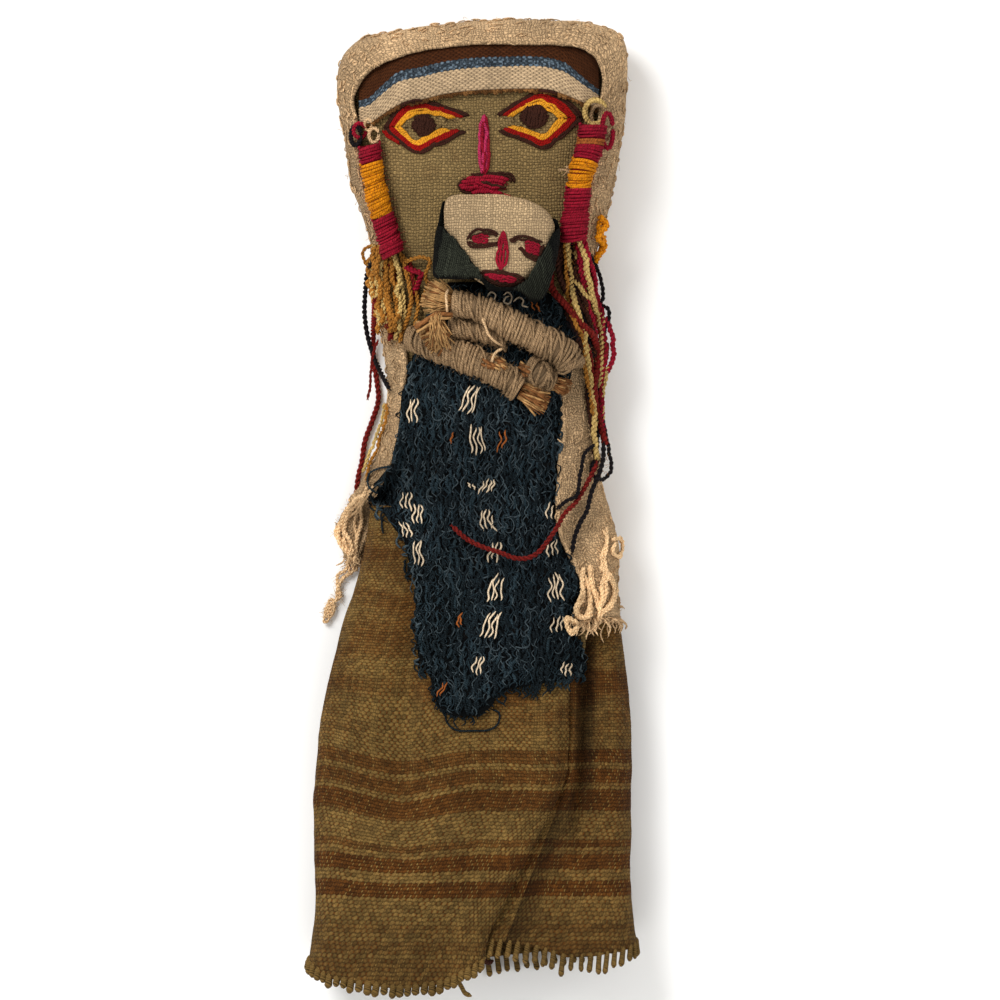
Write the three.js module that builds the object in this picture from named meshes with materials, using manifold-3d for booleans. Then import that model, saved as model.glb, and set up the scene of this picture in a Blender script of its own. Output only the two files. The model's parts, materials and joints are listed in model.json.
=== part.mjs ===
// A cloth burial doll that holds a smaller doll, lying on its back.
// Millimetres. +X is to the right of someone looking down on its face, +Y points from
// the skirt to the head, and +Z points up, away from the table. The table is z = 0.
import * as THREE from "three";
import { mergeVertices } from "three/addons/utils/BufferGeometryUtils.js";
import Module from "manifold-3d";

const wasm = await Module();
wasm.setup();

// Driving dimensions
const CLOTH = 1.6; // wall of the skirt cloth
const VEIL_CLOTH = 1.8; // wall of the open-weave headcloth
const GAP = 0.35; // air between pieces that touch
const SECTION_SIDES = 28; // facets round a padded section
const FACET_TOLERANCE = 0.12; // how far a cut shell's facets may be simplified
const TABLE = 0; // height of the surface that the doll lies on
const SKY = 60; // a height above everything
const SAME_PLACE = 1e-4; // vertices nearer than this are one
const OPENING_FLOOR = 12; // the face opening is cut through the headcloth down to this height
const BAND_LIFT = 0.85; // air under the headband
const BAND_CLOTH = 1.2; // wall of the headband
const SKIRT_TOP = -1.6; // where the skirt begins, along the doll
const SKIRT_OVERLAP = 0.9; // how far the skirt goes on beneath its outer edge, in radians
const YARN_SIDES = 8; // facets round a loose yarn
const FULL_TURN = 2 * Math.PI;

// Sections across the doll, from the head down.
// y, left edge, right edge, underside, top side, squareness of the section
const VEIL_SECTIONS = [
  [149.6, -3, 23, 9, 21, 2.4],
  [148.4, -17, 33, 4.5, 26, 2.4],
  [145, -28.5, 40, 1, 29.5, 2.5],
  [140, -39, 44.5, 0, 31.7, 2.6],
  [134, -44.4, 46.3, 0, 32.6, 2.7],
  [125, -45, 46.5, 0, 33, 2.8],
  [104, -41.2, 43.6, 0, 32, 2.8],
  [80, -34.6, 38.2, 0, 30, 2.8],
  [65, -30.5, 35.2, 0, 27.8, 2.8],
  [50, -29, 34, 0, 26.2, 2.8],
  [36, -29.5, 34, 0, 25.8, 2.8],
  [20, -32, 36.6, 0, 26, 2.8],
  [8, -35.5, 39.4, 0, 27, 2.8],
  [0, -40, 41.6, 0, 28.6, 2.8],
  [-8, -45, 43.8, 0, 29.6, 2.8],
  [-20, -46, 46, 0, 30.6, 2.8],
  [-46, -47, 48, 0, 32.4, 2.8],
];
const BODY_SECTIONS = [
  [146.6, -1, 21, 11, 18, 2.2],
  [144.6, -14, 31, 6, 23, 2.3],
  [141, -26, 37.6, 3.4, 26, 2.4],
  [136, -37, 41.6, 2.3, 28, 2.5],
  [129, -41.4, 43.2, 2.2, 29, 2.6],
  [118, -40.6, 42.6, 2.2, 29.2, 2.6],
  [104, -38, 40.6, 2.2, 28.6, 2.6],
  [80, -31.6, 35.2, 2.2, 26.8, 2.5],
  [65, -27.4, 32.2, 2.2, 25.4, 2.3],
  [50, -26, 31, 2.2, 25, 2.2],
  [36, -26.2, 30.8, 2.2, 25, 2.2],
  [20, -27.6, 31.6, 2.2, 24.8, 2.2],
  [10, -28.6, 32.6, 3, 23.6, 2.3],
  [2, -29.4, 33, 4.4, 21, 2.4],
  [-10, -30.4, 34.4, 4.6, 21.4, 2.4],
  [-40, -33, 37, 4.6, 22.6, 2.4],
  [-66, -34, 36, 4, 22, 2.3],
  [-76, -28, 30, 5.4, 19.6, 2.2],
  [-80, -16, 18, 9, 15, 2],
];
const SKIRT_SECTIONS = [
  [-1.6, -33.8, 37.4, 2.3, 26, 2.5],
  [-18, -36.6, 40.6, 2.3, 27, 2.5],
  [-29, -40.4, 42.2, 2.4, 28, 2.5],
  [-42, -44.3, 44.7, 2.4, 28.7, 2.5],
  [-50, -46.2, 46.2, 0.8, 29, 2.4],
  [-62, -49.2, 47, 0, 29.6, 2.3],
  [-78, -51.8, 48.4, 0, 30.6, 2.2],
  [-94, -53.2, 48.2, 0, 31.4, 2.2],
  [-108, -52.8, 48, 0, 32, 2.2],
  [-122, -51.8, 48, 0, 32.4, 2.2],
  [-134, -52.6, 49.6, 0, 32.8, 2.2],
  [-152, -54.4, 51, 0, 33.4, 2.2],
];
const CHILD_HEAD_SECTIONS = [
  [94.2, -8, 7.4, 4.6, 8, 2.3],
  [92.8, -10.6, 13.4, 2, 10.4, 2.5],
  [90, -11.2, 20.6, 0.6, 12, 2.7],
  [86, -11.4, 23.4, 0, 12.8, 2.8],
  [80, -10.8, 23.2, 0, 13, 2.8],
  [74, -8.8, 21.8, 0, 12.8, 2.7],
  [69.4, -3.6, 18, 0.4, 12.2, 2.6],
  [66.4, 0.8, 13.6, 2, 10.8, 2.4],
  [65, 3.6, 10.6, 4, 8.4, 2.2],
];
const CHILD_HEAD_REST = 30.4; // the height at which the child's head lies

// The opening in the headcloth that shows the face and the front, clockwise from the crown
const FACE_OPENING = [
  [1, 141], [26, 141], [33, 139.6], [36.6, 136], [38.4, 131], [38.2, 125],
  [37, 117], [35.4, 104], [33.4, 89], [32, 80], [30.6, 66], [28, 52],
  [25.2, 40], [24.8, 20], [23.8, 0], [24.4, -11], [28.4, -19],
  [31.6, -28.5], [29.4, -34], [27.4, -38], [27, -60], [-36, -60],
  [-38.6, -19], [-36.6, -6], [-33.4, 2], [-27, 10.4], [-25.6, 20], [-24.4, 33],
  [-22.6, 44], [-25, 50], [-29.4, 65], [-32, 80], [-35, 94], [-37.6, 105],
  [-39, 118], [-39.8, 125], [-37, 130], [-32, 134.4], [-25, 137.6], [-12, 140.4],
];
// The headcloth's lower end, cut off below this line
const VEIL_END = [
  [-70, -4], [-46.2, -9.5], [-45.6, -13], [-43, -16.4], [-39.6, -20], [-36, -21],
  [-10, -30], [27, -37], [40, -41.5], [70, -43],
];

// Front outline of the indigo wrap: y, left edge, right edge
const WRAP_EDGES = [
  [68.6, -9, 17], [62, -13.6, 24.4], [52.7, -17, 30], [46, -20.6, 29.4], [38.8, -22.4, 26.6],
  [33, -24, 24.8], [20.5, -25.4, 24.6], [10.5, -27.4, 24.4], [5.4, -31.4, 24], [2.2, -35, 23.6],
  [-1.6, -32.2, 23.6], [-8.4, -27.4, 24.2], [-12.4, -24.4, 25], [-19, -22.6, 28], [-28.5, -20.6, 31.4],
  [-34, -20.5, 29.4], [-38.8, -20.5, 27.6], [-44, -20.3, 33], [-50, -19.4, 34.2], [-56, -16, 29.4],
  [-61, -15, 13], [-67.3, -9, 2],
];
const WRAP_CLOTH = 1.5;

// Linear reading of a list of sections at one y
function sectionAt(sections, y) {
  const down = sections[0][0] > sections[sections.length - 1][0];
  const list = down ? [...sections].reverse() : sections;
  const width = list[0].length - 1;
  const table = new THREE.LinearInterpolant(
    list.map((row) => row[0]),
    list.flatMap((row) => row.slice(1)),
    width,
  );
  return Array.from(table.evaluate(y));
}

const power = (value, exponent) => Math.sign(value) * Math.abs(value) ** exponent;

// A padded form that runs along Y, with superellipse sections flattened below
class Padded {
  constructor(sections, lift = 0) {
    this.sections = sections;
    this.lift = lift;
    this.high = sections[0][0];
    this.low = sections[sections.length - 1][0];
  }

  // The same form drawn in by so much at its sides, top side, underside and crown
  inset(side, front, back, crown) {
    const rows = this.sections.map(([y, left, right, under, top, n], i) => [
      i < 5 ? y - crown : y,
      left + side,
      right - side,
      under + back,
      top - front,
      n,
    ]);
    return new Padded(rows, this.lift);
  }

  point(y, angle) {
    const [left, right, under, top, n] = sectionAt(this.sections, y);
    const middle = under + 0.46 * (top - under);
    const x = (left + right) / 2 + ((right - left) / 2) * power(Math.cos(angle), 2 / n);
    const rise = power(Math.sin(angle), 2 / n);
    const z = rise > 0
      ? middle + (top - middle) * rise
      : Math.max(under, middle + (middle - under) * 1.15 * rise);
    return new THREE.Vector3(x, y, z + this.lift);
  }

  // Height of the top side above the table at x, y, or null beside the form
  front(x, y) {
    if (y > this.high || y < this.low) return null;
    const [left, right, under, top, n] = sectionAt(this.sections, y);
    const across = Math.abs((x - (left + right) / 2) / ((right - left) / 2));
    if (across >= 1) return null;
    const middle = under + 0.46 * (top - under);
    return middle + (top - middle) * (1 - across ** n) ** (1 / n) + this.lift;
  }

  // A closed shell of facets, with rings at the given heights along Y
  geometry(rings, sides = SECTION_SIDES) {
    const shape = new THREE.CylinderGeometry(1, 1, 1, sides, rings.length - 1);
    return warp(shape, (x, y, z) => {
      const row = Math.round((y + 0.5) * (rings.length - 1));
      const ringY = rings[row];
      if (Math.hypot(x, z) < 0.5) {
        const [left, right, under, top] = sectionAt(this.sections, ringY);
        return new THREE.Vector3((left + right) / 2, ringY, (under + top) / 2 + this.lift);
      }
      return this.point(ringY, Math.atan2(z, x));
    });
  }

  rings(step) {
    const found = this.sections.map((row) => row[0]);
    const extra = [];
    found.slice(1).forEach((y, i) => {
      const span = found[i] - y;
      const parts = Math.ceil(span / step);
      for (let k = 1; k < parts; k += 1) extra.push(found[i] - (span * k) / parts);
    });
    return [...found, ...extra].sort((a, b) => a - b);
  }
}

// Moves every vertex of a closed three.js shape by a function of its place
function warp(shape, place) {
  shape.deleteAttribute("normal");
  shape.deleteAttribute("uv");
  const position = shape.getAttribute("position");
  for (let i = 0; i < position.count; i += 1) {
    const p = place(position.getX(i), position.getY(i), position.getZ(i));
    position.setXYZ(i, p.x, p.y, p.z);
  }
  return mergeVertices(shape, SAME_PLACE);
}

// A thin closed sheet: across and along run from 0 to 1, and side is 0 below and 1 above
function slab(columns, rows, place) {
  const shape = new THREE.BoxGeometry(1, 1, 1, columns, rows, 1);
  return warp(shape, (x, y, z) => place(x + 0.5, y + 0.5, z + 0.5));
}

// A closed tube along a curve. size gives its half width and half height at a share of
// the way, and flute draws every second edge in by that share.
function tube(points, size, sides, steps, flute = 0) {
  const curve = new THREE.CatmullRomCurve3(points, false, "centripetal");
  const up = new THREE.Vector3(0, 0, 1);
  const shape = new THREE.CylinderGeometry(1, 1, 1, sides, steps);
  return warp(shape, (x, y, z) => {
    const share = THREE.MathUtils.clamp(y + 0.5, 0, 1);
    const away = Math.hypot(x, z);
    const side = Math.round((Math.atan2(z, x) / FULL_TURN) * sides);
    const ridge = away < 0.5 ? 0 : (1 - flute * (Math.abs(side) % 2)) / away;
    const [half, thick] = size(share);
    const along = curve.getTangentAt(share);
    const across = along.clone().cross(up).normalize();
    const above = across.clone().cross(along);
    return curve
      .getPointAt(share)
      .addScaledVector(across, x * ridge * half)
      .addScaledVector(above, z * ridge * thick);
  });
}

function solid(geometry) {
  return new wasm.Manifold(
    new wasm.Mesh({
      numProp: 3,
      vertProperties: new Float32Array(geometry.attributes.position.array),
      triVerts: new Uint32Array(geometry.index.array),
    }),
  );
}

function geometryOf(manifold) {
  const mesh = manifold.getMesh();
  const geometry = new THREE.BufferGeometry();
  geometry.setAttribute("position", new THREE.BufferAttribute(mesh.vertProperties, 3));
  geometry.setIndex(new THREE.BufferAttribute(mesh.triVerts, 1));
  return geometry;
}

// An upright prism over an outline, from one height to another
function prism(outline, low, high) {
  const shape = new THREE.Shape(outline.map(([x, y]) => new THREE.Vector2(x, y)));
  const extruded = new THREE.ExtrudeGeometry(shape, { depth: high - low, bevelEnabled: false });
  extruded.translate(0, 0, low);
  extruded.deleteAttribute("normal");
  extruded.deleteAttribute("uv");
  return solid(mergeVertices(extruded, SAME_PLACE));
}

const materials = {};
function material(name, color, roughness = 0.95) {
  materials[name] ??= new THREE.MeshStandardMaterial({ name, color, roughness, metalness: 0 });
  return materials[name];
}

const doll = new THREE.Group();
doll.name = "burial_doll";
function add(name, geometry, finish) {
  const mesh = new THREE.Mesh(geometry, finish);
  mesh.name = name;
  doll.add(mesh);
  return mesh;
}

const cream = () => material("cream_gauze", 0xc9b48f);
const olive = () => material("olive_cloth", 0x807a5c);
const indigo = () => material("indigo_cloth", 0x1f3440);
const brown = () => material("skirt_cloth", 0x83673f);
const hemp = () => material("arm_yarn", 0xa8916d);
const reed = () => material("reed", 0xa3703f);
const crimson = () => material("crimson_yarn", 0x9c1f3c);
const orange = () => material("orange_yarn", 0xdc8a12);
const ochre = () => material("ochre_yarn", 0xb8893c);
const black = () => material("black_yarn", 0x1c1517);
const darkBrown = () => material("dark_brown_yarn", 0x3a2018);

const veilForm = new Padded(VEIL_SECTIONS);
const bodyForm = new Padded(BODY_SECTIONS);
const skirtForm = new Padded(SKIRT_SECTIONS);

// Height of the face cloth
const faceFront = (x, y) => bodyForm.front(x, y) ?? TABLE;

// Height of whatever lies highest at a place, before the indigo wrap is laid on
function clothesFront(x, y) {
  const heights = [bodyForm, veilForm, skirtForm].map((form) => form.front(x, y) ?? TABLE);
  const outside = THREE.MathUtils.smoothstep(Math.abs(x), 17, 23);
  const lowDown = 1 - THREE.MathUtils.smoothstep(y, 0, 9);
  return THREE.MathUtils.lerp(heights[0], Math.max(...heights), Math.max(outside, lowDown));
}

function stuffedBody() {
  add("stuffed_body", bodyForm.geometry(bodyForm.rings(24), 24), olive());
}

// The headcloth is a shell over the head and back, open in front and at its lower end
function headcloth() {
  const inner = veilForm.inset(VEIL_CLOTH, VEIL_CLOTH, VEIL_CLOTH, VEIL_CLOTH);
  inner.sections[inner.sections.length - 1][0] -= 4;
  const shell = solid(veilForm.geometry(veilForm.rings(22)))
    .subtract(solid(inner.geometry(inner.rings(22))))
    .subtract(prism(FACE_OPENING, OPENING_FLOOR, SKY));
  const cutOff = [...VEIL_END, [70, -80], [-70, -80]].reverse();
  const cut = shell.subtract(prism(cutOff, -5, SKY));
  add("headcloth", geometryOf(cut.simplify(FACET_TOLERANCE)), cream());
}

// The striped band lies on the forehead, under the headcloth's front edge
function headband() {
  const span = [-36.8, 36.6];
  const lowerEdge = corners([[-36.8, 116.6], [-33.8, 116.8], [-30.7, 119.4], [-24.2, 123.4], [-18, 124.4],
    [-11.8, 125.6], [4, 127.1], [19.8, 127], [26.4, 125.6], [32.6, 122.8], [36.6, 121]]);
  const upperEdge = corners([[-36.8, 131.4], [-32, 136], [-25, 139.2], [-12, 141.8], [0, 142.6],
    [24, 142.6], [31, 141], [34.4, 138.4], [36.6, 133]]);
  add(
    "headband",
    slab(20, 4, (u, v, side) => {
      const x = span[0] + u * (span[1] - span[0]);
      const low = lowerEdge(x);
      const y = low + v * (Math.max(upperEdge(x), low + 3) - low);
      return new THREE.Vector3(x, y, faceFront(x, y) + BAND_LIFT + side * BAND_CLOTH);
    }),
    material("band_cloth", 0xbdb092),
  );
}

// An embroidered patch between a lower and an upper edge, raised in its middle
function patch(name, finish, from, to, lower, upper, base, rise, columns = 8) {
  add(
    name,
    slab(columns, 3, (u, v, side) => {
      const x = from + u * (to - from);
      const y = lower(u) + v * (upper(u) - lower(u));
      const dome = rise * (0.45 + 0.55 * Math.sin(Math.PI * v));
      return new THREE.Vector3(x, y, base(x, y) + GAP + side * dome);
    }),
    finish,
  );
}

// Straight stretches between [share, value] corners
const corners = (list) => (u) => sectionAt(list, u)[0];

function face() {
  const leftLow = corners([[0, 113.6], [0.38, 106.3], [1, 113.6]]);
  const leftHigh = corners([[0, 115.6], [0.3, 122.4], [0.6, 122.6], [1, 119]]);
  patch("eye_left", darkBrown(), -29.8, -3.6, leftLow, leftHigh, faceFront, 1.2);
  const rightLow = corners([[0, 113.4], [0.52, 109], [1, 116.8]]);
  const rightHigh = corners([[0, 118.6], [0.5, 123.8], [0.6, 123.8], [1, 118.8]]);
  patch("eye_right", darkBrown(), 6, 32, rightLow, rightHigh, faceFront, 1.2);
  const noseHalf = (t) => 0.5 + 1.4 * Math.sin(Math.PI * Math.min(1, t * 1.1)) ** 0.7;
  add(
    "nose",
    slab(3, 6, (u, v, side) => {
      const y = 101.6 + v * 17.2;
      const x = 1.3 + (u - 0.5) * 2 * noseHalf(1 - v);
      return new THREE.Vector3(x, y, faceFront(x, y) + GAP + side * (0.7 + 0.9 * Math.sin(Math.PI * u)));
    }),
    material("pink_yarn", 0xb8365f),
  );
  const mouthHalf = (u) => 0.8 + 1.9 * Math.sin(Math.PI * u) ** 0.6;
  const mouthMiddle = (u) => 97.9 - 0.9 * u;
  patch("mouth", crimson(), -6.2, 9.8, (u) => mouthMiddle(u) - mouthHalf(u),
    (u) => mouthMiddle(u) + mouthHalf(u), faceFront, 1.5, 6);
}

const childForm = new Padded(CHILD_HEAD_SECTIONS, CHILD_HEAD_REST);
const childFront = (x, y) => childForm.front(x, y) ?? CHILD_HEAD_REST + 5;

// The child's head, with its own embroidered face
function childHead() {
  add("child_head", childForm.geometry(childForm.rings(9), 20), material("child_cloth", 0xbfae8a));
  const almond = (half) => (u) => half * Math.sin(Math.PI * (0.08 + 0.84 * u)) ** 0.7;
  const eye = (name, from, to, middle, half) =>
    patch(name, darkBrown(), from, to, (u) => middle(u) - almond(half)(u),
      (u) => middle(u) + almond(half)(u), childFront, 0.9, 5);
  eye("child_eye_left", -3.8, 5.6, (u) => 80 + 0.6 * u, 2.5);
  eye("child_eye_right", 9, 18.8, (u) => 79.6 - 2.6 * u, 2.6);
  add(
    "child_nose",
    slab(2, 5, (u, v, side) => {
      const y = 71.4 + v * 11;
      const x = 6.2 + 0.9 * v + (u - 0.5) * 2 * (0.3 + 1.1 * Math.sin(Math.PI * v));
      return new THREE.Vector3(x, y, childFront(x, y) + GAP + side * (0.6 + 0.6 * Math.sin(Math.PI * u)));
    }),
    crimson(),
  );
  patch("child_mouth", crimson(), 1.5, 12.8, (u) => 68.2 - 0.5 * u - 1.8 * Math.sin(Math.PI * u),
    (u) => 68.4 - 0.5 * u + 1.8 * Math.sin(Math.PI * u), childFront, 1, 5);
}

// A dark green cloth behind the child's head, brought forward over its jaw
function childHood() {
  const outer = new Padded(
    [
      [92.4, -11.8, 24, -0.6, 7, 2.4],
      [88, -12.8, 25, -1.6, 13.6, 2.6],
      [78, -14.8, 25, -1.6, 14.2, 2.7],
      [70, -15, 23.2, -1.6, 14.2, 2.7],
      [64.4, -13, 21.2, -1.6, 13.2, 2.6],
      [61, -6, 19.2, -1, 10.6, 2.4],
    ],
    CHILD_HEAD_REST,
  );
  const hollow = new Padded(
    CHILD_HEAD_SECTIONS.map(([y, left, right, under, top, n]) => [
      y > 80 ? y + GAP : y - GAP,
      left - GAP,
      right + GAP,
      under - GAP,
      top + GAP,
      n,
    ]),
    CHILD_HEAD_REST,
  );
  const opening = [
    [-20, 98], [-20, 88], [-11, 84], [-9.5, 82], [-7, 79.7], [-3.4, 75], [0, 70], [2.6, 67], [5.6, 65.4],
    [10.5, 65.4], [13.6, 67], [15.2, 69], [17.5, 73], [20.5, 78.6], [22.5, 82], [24, 86], [34, 88], [34, 98],
  ].reverse();
  const below = [[-30, 67.9], [0, 67.9], [2.4, 64.2], [12.8, 64.2], [17.4, 58], [-30, 58]].reverse();
  const shell = solid(outer.geometry(outer.rings(8), 20))
    .subtract(solid(hollow.geometry(hollow.rings(9), 20)))
    .subtract(prism(opening, CHILD_HEAD_REST + 4.5, SKY))
    .subtract(prism(below, TABLE, SKY));
  const parts = shell.decompose().sort((a, b) => b.volume() - a.volume());
  add("child_hood", geometryOf(parts[0].simplify(FACET_TOLERANCE / 1.5)), material("green_cloth", 0x23291f));
}

// The indigo wrap hangs from the child's chin over both dolls' fronts
function indigoWrap() {
  const top = WRAP_EDGES[0][0];
  const bottom = WRAP_EDGES[WRAP_EDGES.length - 1][0];
  add(
    "indigo_wrap",
    slab(8, 21, (u, v, side) => {
      const y = top + v * (bottom - top);
      const [left, right] = sectionAt(WRAP_EDGES, y);
      const x = right + u * (left - right);
      return new THREE.Vector3(x, y, clothesFront(x, y) + 0.8 + side * WRAP_CLOTH);
    }),
    indigo(),
  );
}
const wrapFront = (x, y) => clothesFront(x, y) + 0.8 + WRAP_CLOTH;

// Height under a rounded thing of that half width and half height
function support(x, y, half, thick, below) {
  return Math.max(...[-1, -0.6, 0, 0.6, 1].map((k) => {
    const rise = thick * (1 - Math.sqrt(1 - 0.98 * k * k));
    return Math.max(below(x + k * half, y), below(x, y + k * half)) - rise;
  }));
}

// Lays a list of [x, y, lift] points so that a rounded thing lies on what is below it
function laid(list, below, half, thick = half) {
  const way = list.map(([x, y, lift = 0]) => new THREE.Vector3(x, y, lift));
  const plan = new THREE.CatmullRomCurve3(way, false, "centripetal");
  return plan.getSpacedPoints(2 * list.length).map((p) => {
    const height = support(p.x, p.y, half, thick, below) + GAP + thick + p.z;
    return new THREE.Vector3(p.x, p.y, height);
  });
}

// Four yarn-bound reed arms cross over the wrap, and each ends in a splayed tuft of reed
function arms() {
  const routes = {
    arm_upper_right: {
      radius: [3.6, 4.7, 4.2],
      steps: 12,
      way: [[-8.4, 60.9, 0.6], [0.6, 58.8, 1.2], [9.5, 54, 1.4], [17.8, 49.8, 0.8], [24.2, 46.4, 0.2],
        [27.4, 43.4], [28, 40.4]],
    },
    arm_middle: {
      radius: [2.9, 2.7, 1.7],
      steps: 8,
      way: [[-9, 53, 0.2], [-1.6, 52.3], [4.6, 50.1], [8, 48.3]],
    },
    arm_lower_left: {
      radius: [3.1, 4.4, 3.6],
      steps: 10,
      way: [[-22.4, 50.4, -1], [-14.6, 47.2, -0.6], [-7.4, 45], [-0.9, 42.4], [5.3, 39.4],
        [9.5, 36.6], [12, 34.4]],
    },
    arm_stub: {
      radius: [3.1, 4, 3.4],
      steps: 5,
      way: [[15.4, 41, 0.8], [18.9, 38.8, 0.6], [22, 37, 0.4]],
    },
  };
  for (const [name, { radius, steps, way }] of Object.entries(routes)) {
    const swell = corners([[0, radius[0]], [0.5, radius[1]], [1, radius[2]]]);
    const round = (t) => [swell(t), swell(t)];
    add(name, tube(laid(way, wrapFront, Math.max(...radius)), round, 10, steps), hemp());
  }
  for (const [name, { from, to, half, thick }] of Object.entries({
    reeds_upper: { from: [-9.6, 61.4, 31.2], to: [-17.2, 63.4, 31.4], half: [2.4, 3.4], thick: [2, 1.6] },
    reeds_middle: { from: [-10.2, 53.2, 31.6], to: [-18.6, 50.6, 37], half: [2.6, 5.2], thick: [2, 1.4] },
    reeds_lower: { from: [13.4, 33, 31.6], to: [21.2, 29, 30.4], half: [2.2, 3.6], thick: [2, 1.6] },
    reeds_stub: { from: [23.8, 35.6, 29.4], to: [27.8, 33.4, 28.4], half: [1.4, 1.8], thick: [1.4, 1.2] },
  })) add(name, splay(from, to, half, thick), reed());
}

// A flat sheaf of split reed that widens from one place to another
function splay(from, to, half, thick) {
  const start = new THREE.Vector3(...from);
  const way = new THREE.Vector3(...to).sub(start);
  const across = new THREE.Vector3(way.y, -way.x, 0).normalize();
  return slab(9, 3, (u, v, side) => {
    const column = Math.round(u * 9);
    const reach = (u - 0.5) * 2 * THREE.MathUtils.lerp(half[0], half[1], v);
    const ridge = 1 - 0.2 * (column % 2);
    const depth = THREE.MathUtils.lerp(thick[0], thick[1], v) * (0.25 + 0.75 * Math.sin(Math.PI * u)) * ridge;
    const ragged = v > 0.9 ? 0.08 * ((column * 5) % 4 - 1.5) : 0;
    return start
      .clone()
      .addScaledVector(way, v + ragged)
      .addScaledVector(across, reach)
      .add(new THREE.Vector3(0, 0, (side - 0.5) * 2 * depth));
  });
}

// Height of the head and headcloth together, where the bound locks lie
const headTop = (x, y) => Math.max(veilForm.front(x, y) ?? TABLE, bodyForm.front(x, y) ?? TABLE);

// Two bound locks of hair yarn at the temples, each with a loop above and a tassel below
function locks() {
  const left = [[-34.2, 108.8], [-33.2, 101], [-31.6, 93], [-29.4, 85.3], [-26.8, 77]];
  const right = [[35, 115.4], [33.8, 108.4], [31.2, 100.8], [30, 93], [29.2, 85.4], [28.8, 80.8]];
  const waist = (t) => 4.2 - 0.5 * Math.sin(Math.PI * t);
  add("bound_lock_left", tube(laid(left, headTop, 3.4), () => [3.4, 3.4], 10, 7), orange());
  add("bound_lock_right", tube(laid(right, headTop, 4.2), (t) => [waist(t), waist(t)], 10, 7), orange());
  const loop = (name, x, y, radius, finish) => {
    const ring = new THREE.TorusGeometry(radius, 0.95, 6, 12);
    ring.deleteAttribute("normal");
    ring.deleteAttribute("uv");
    ring.translate(x, y, headTop(x, y) + 2.6);
    add(name, mergeVertices(ring, SAME_PLACE), finish);
  };
  loop("loop_left", -36.2, 115.2, 2.5, crimson());
  loop("loop_right", 35.6, 122.4, 2.7, ochre());
}

// Yarn tassels: fluted, flattened bundles that hang from the locks
function tassels() {
  const left = [[-26.4, 74.6, 0.6], [-27.4, 68], [-28.4, 60], [-28.8, 52], [-28.8, 44.6]];
  const leftHalf = corners([[0, 2.8], [0.3, 4.6], [0.6, 4.2], [0.8, 3.2], [1, 2]]);
  const flat = (half) => (t) => [half(t), 2.8 - 1.2 * t];
  add("tassel_left", tube(laid(left, wrapTop, 4, 2.7), flat(leftHalf), 12, 8, 0.2), ochre());
  const right = [[28.8, 79.2, 0.4], [30.4, 70], [32.6, 60, 0.3], [35.8, 48], [35.4, 31],
    [37.2, 18], [37.6, 8]];
  const rightHalf = corners([[0, 2.8], [0.18, 5.6], [0.32, 6], [0.5, 4.4], [0.75, 3], [1, 2.4]]);
  add("tassel_right", tube(laid(right, wrapTop, 5, 2.8), flat(rightHalf), 12, 12, 0.2), ochre());
}

// Whether a place is inside the outline of the wrap
function onWrap(x, y) {
  if (y > WRAP_EDGES[0][0] || y < WRAP_EDGES[WRAP_EDGES.length - 1][0]) return false;
  const [left, right] = sectionAt(WRAP_EDGES, y);
  return x > left - 1 && x < right + 1;
}
const wrapTop = (x, y) => (onWrap(x, y) ? wrapFront(x, y) : clothesFront(x, y));

// The skirt is one cloth wound round: its outer edge slants over the front, and its inner
// end goes on beneath. Share 0 is the outer edge, and share 1 the hidden inner end.
function skirt() {
  const columns = 36;
  const rows = 8;
  const span = FULL_TURN + SKIRT_OVERLAP;
  const edgeX = corners([[-160, -3], [-147, -1.2], [-137.6, 0.9], [-130.5, 4.7], [-121.5, 9], [-111, 14.5],
    [-101, 20.2], [-91, 25], [-85, 27.4], [-63, 28], [0, 28.6]]);
  const hem = corners([[0, -142.6], [0.021, -150.6], [0.05, -153.8], [0.1, -151.8], [0.15, -148.4],
    [0.2, -145.4], [0.44, -146.6], [0.62, -141], [0.66, -138.4], [0.7, -140.2], [0.76, -143.4],
    [0.81, -141.4], [0.84, -139], [0.87, -137], [1, -135.6]]);
  add(
    "skirt",
    slab(columns, rows, (u, v, side) => {
      const y = SKIRT_TOP + v * (hem(u) - SKIRT_TOP);
      const [left, right, , , n] = sectionAt(SKIRT_SECTIONS, y);
      const half = (right - left) / 2;
      const edge = THREE.MathUtils.clamp((edgeX(y) - (left + right) / 2) / half, -0.98, 0.98);
      const start = Math.acos(power(edge, n / 2));
      const angle = start + u * span;
      const p = skirtForm.point(y, angle);
      const tuck = THREE.MathUtils.smoothstep(u * span, FULL_TURN - 1.1, FULL_TURN - 0.12);
      const depth = (CLOTH + GAP + 0.5) * tuck + (1 - side) * CLOTH;
      const centre = skirtForm.point(y, angle + 0.05).sub(skirtForm.point(y, angle - 0.05));
      const inward = new THREE.Vector3(-centre.z, 0, centre.x).normalize();
      const moved = p.addScaledVector(inward, depth);
      moved.z = Math.max(moved.z, side > 0.5 ? TABLE : CLOTH * 0.5);
      return moved;
    }),
    brown(),
  );
}

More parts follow.
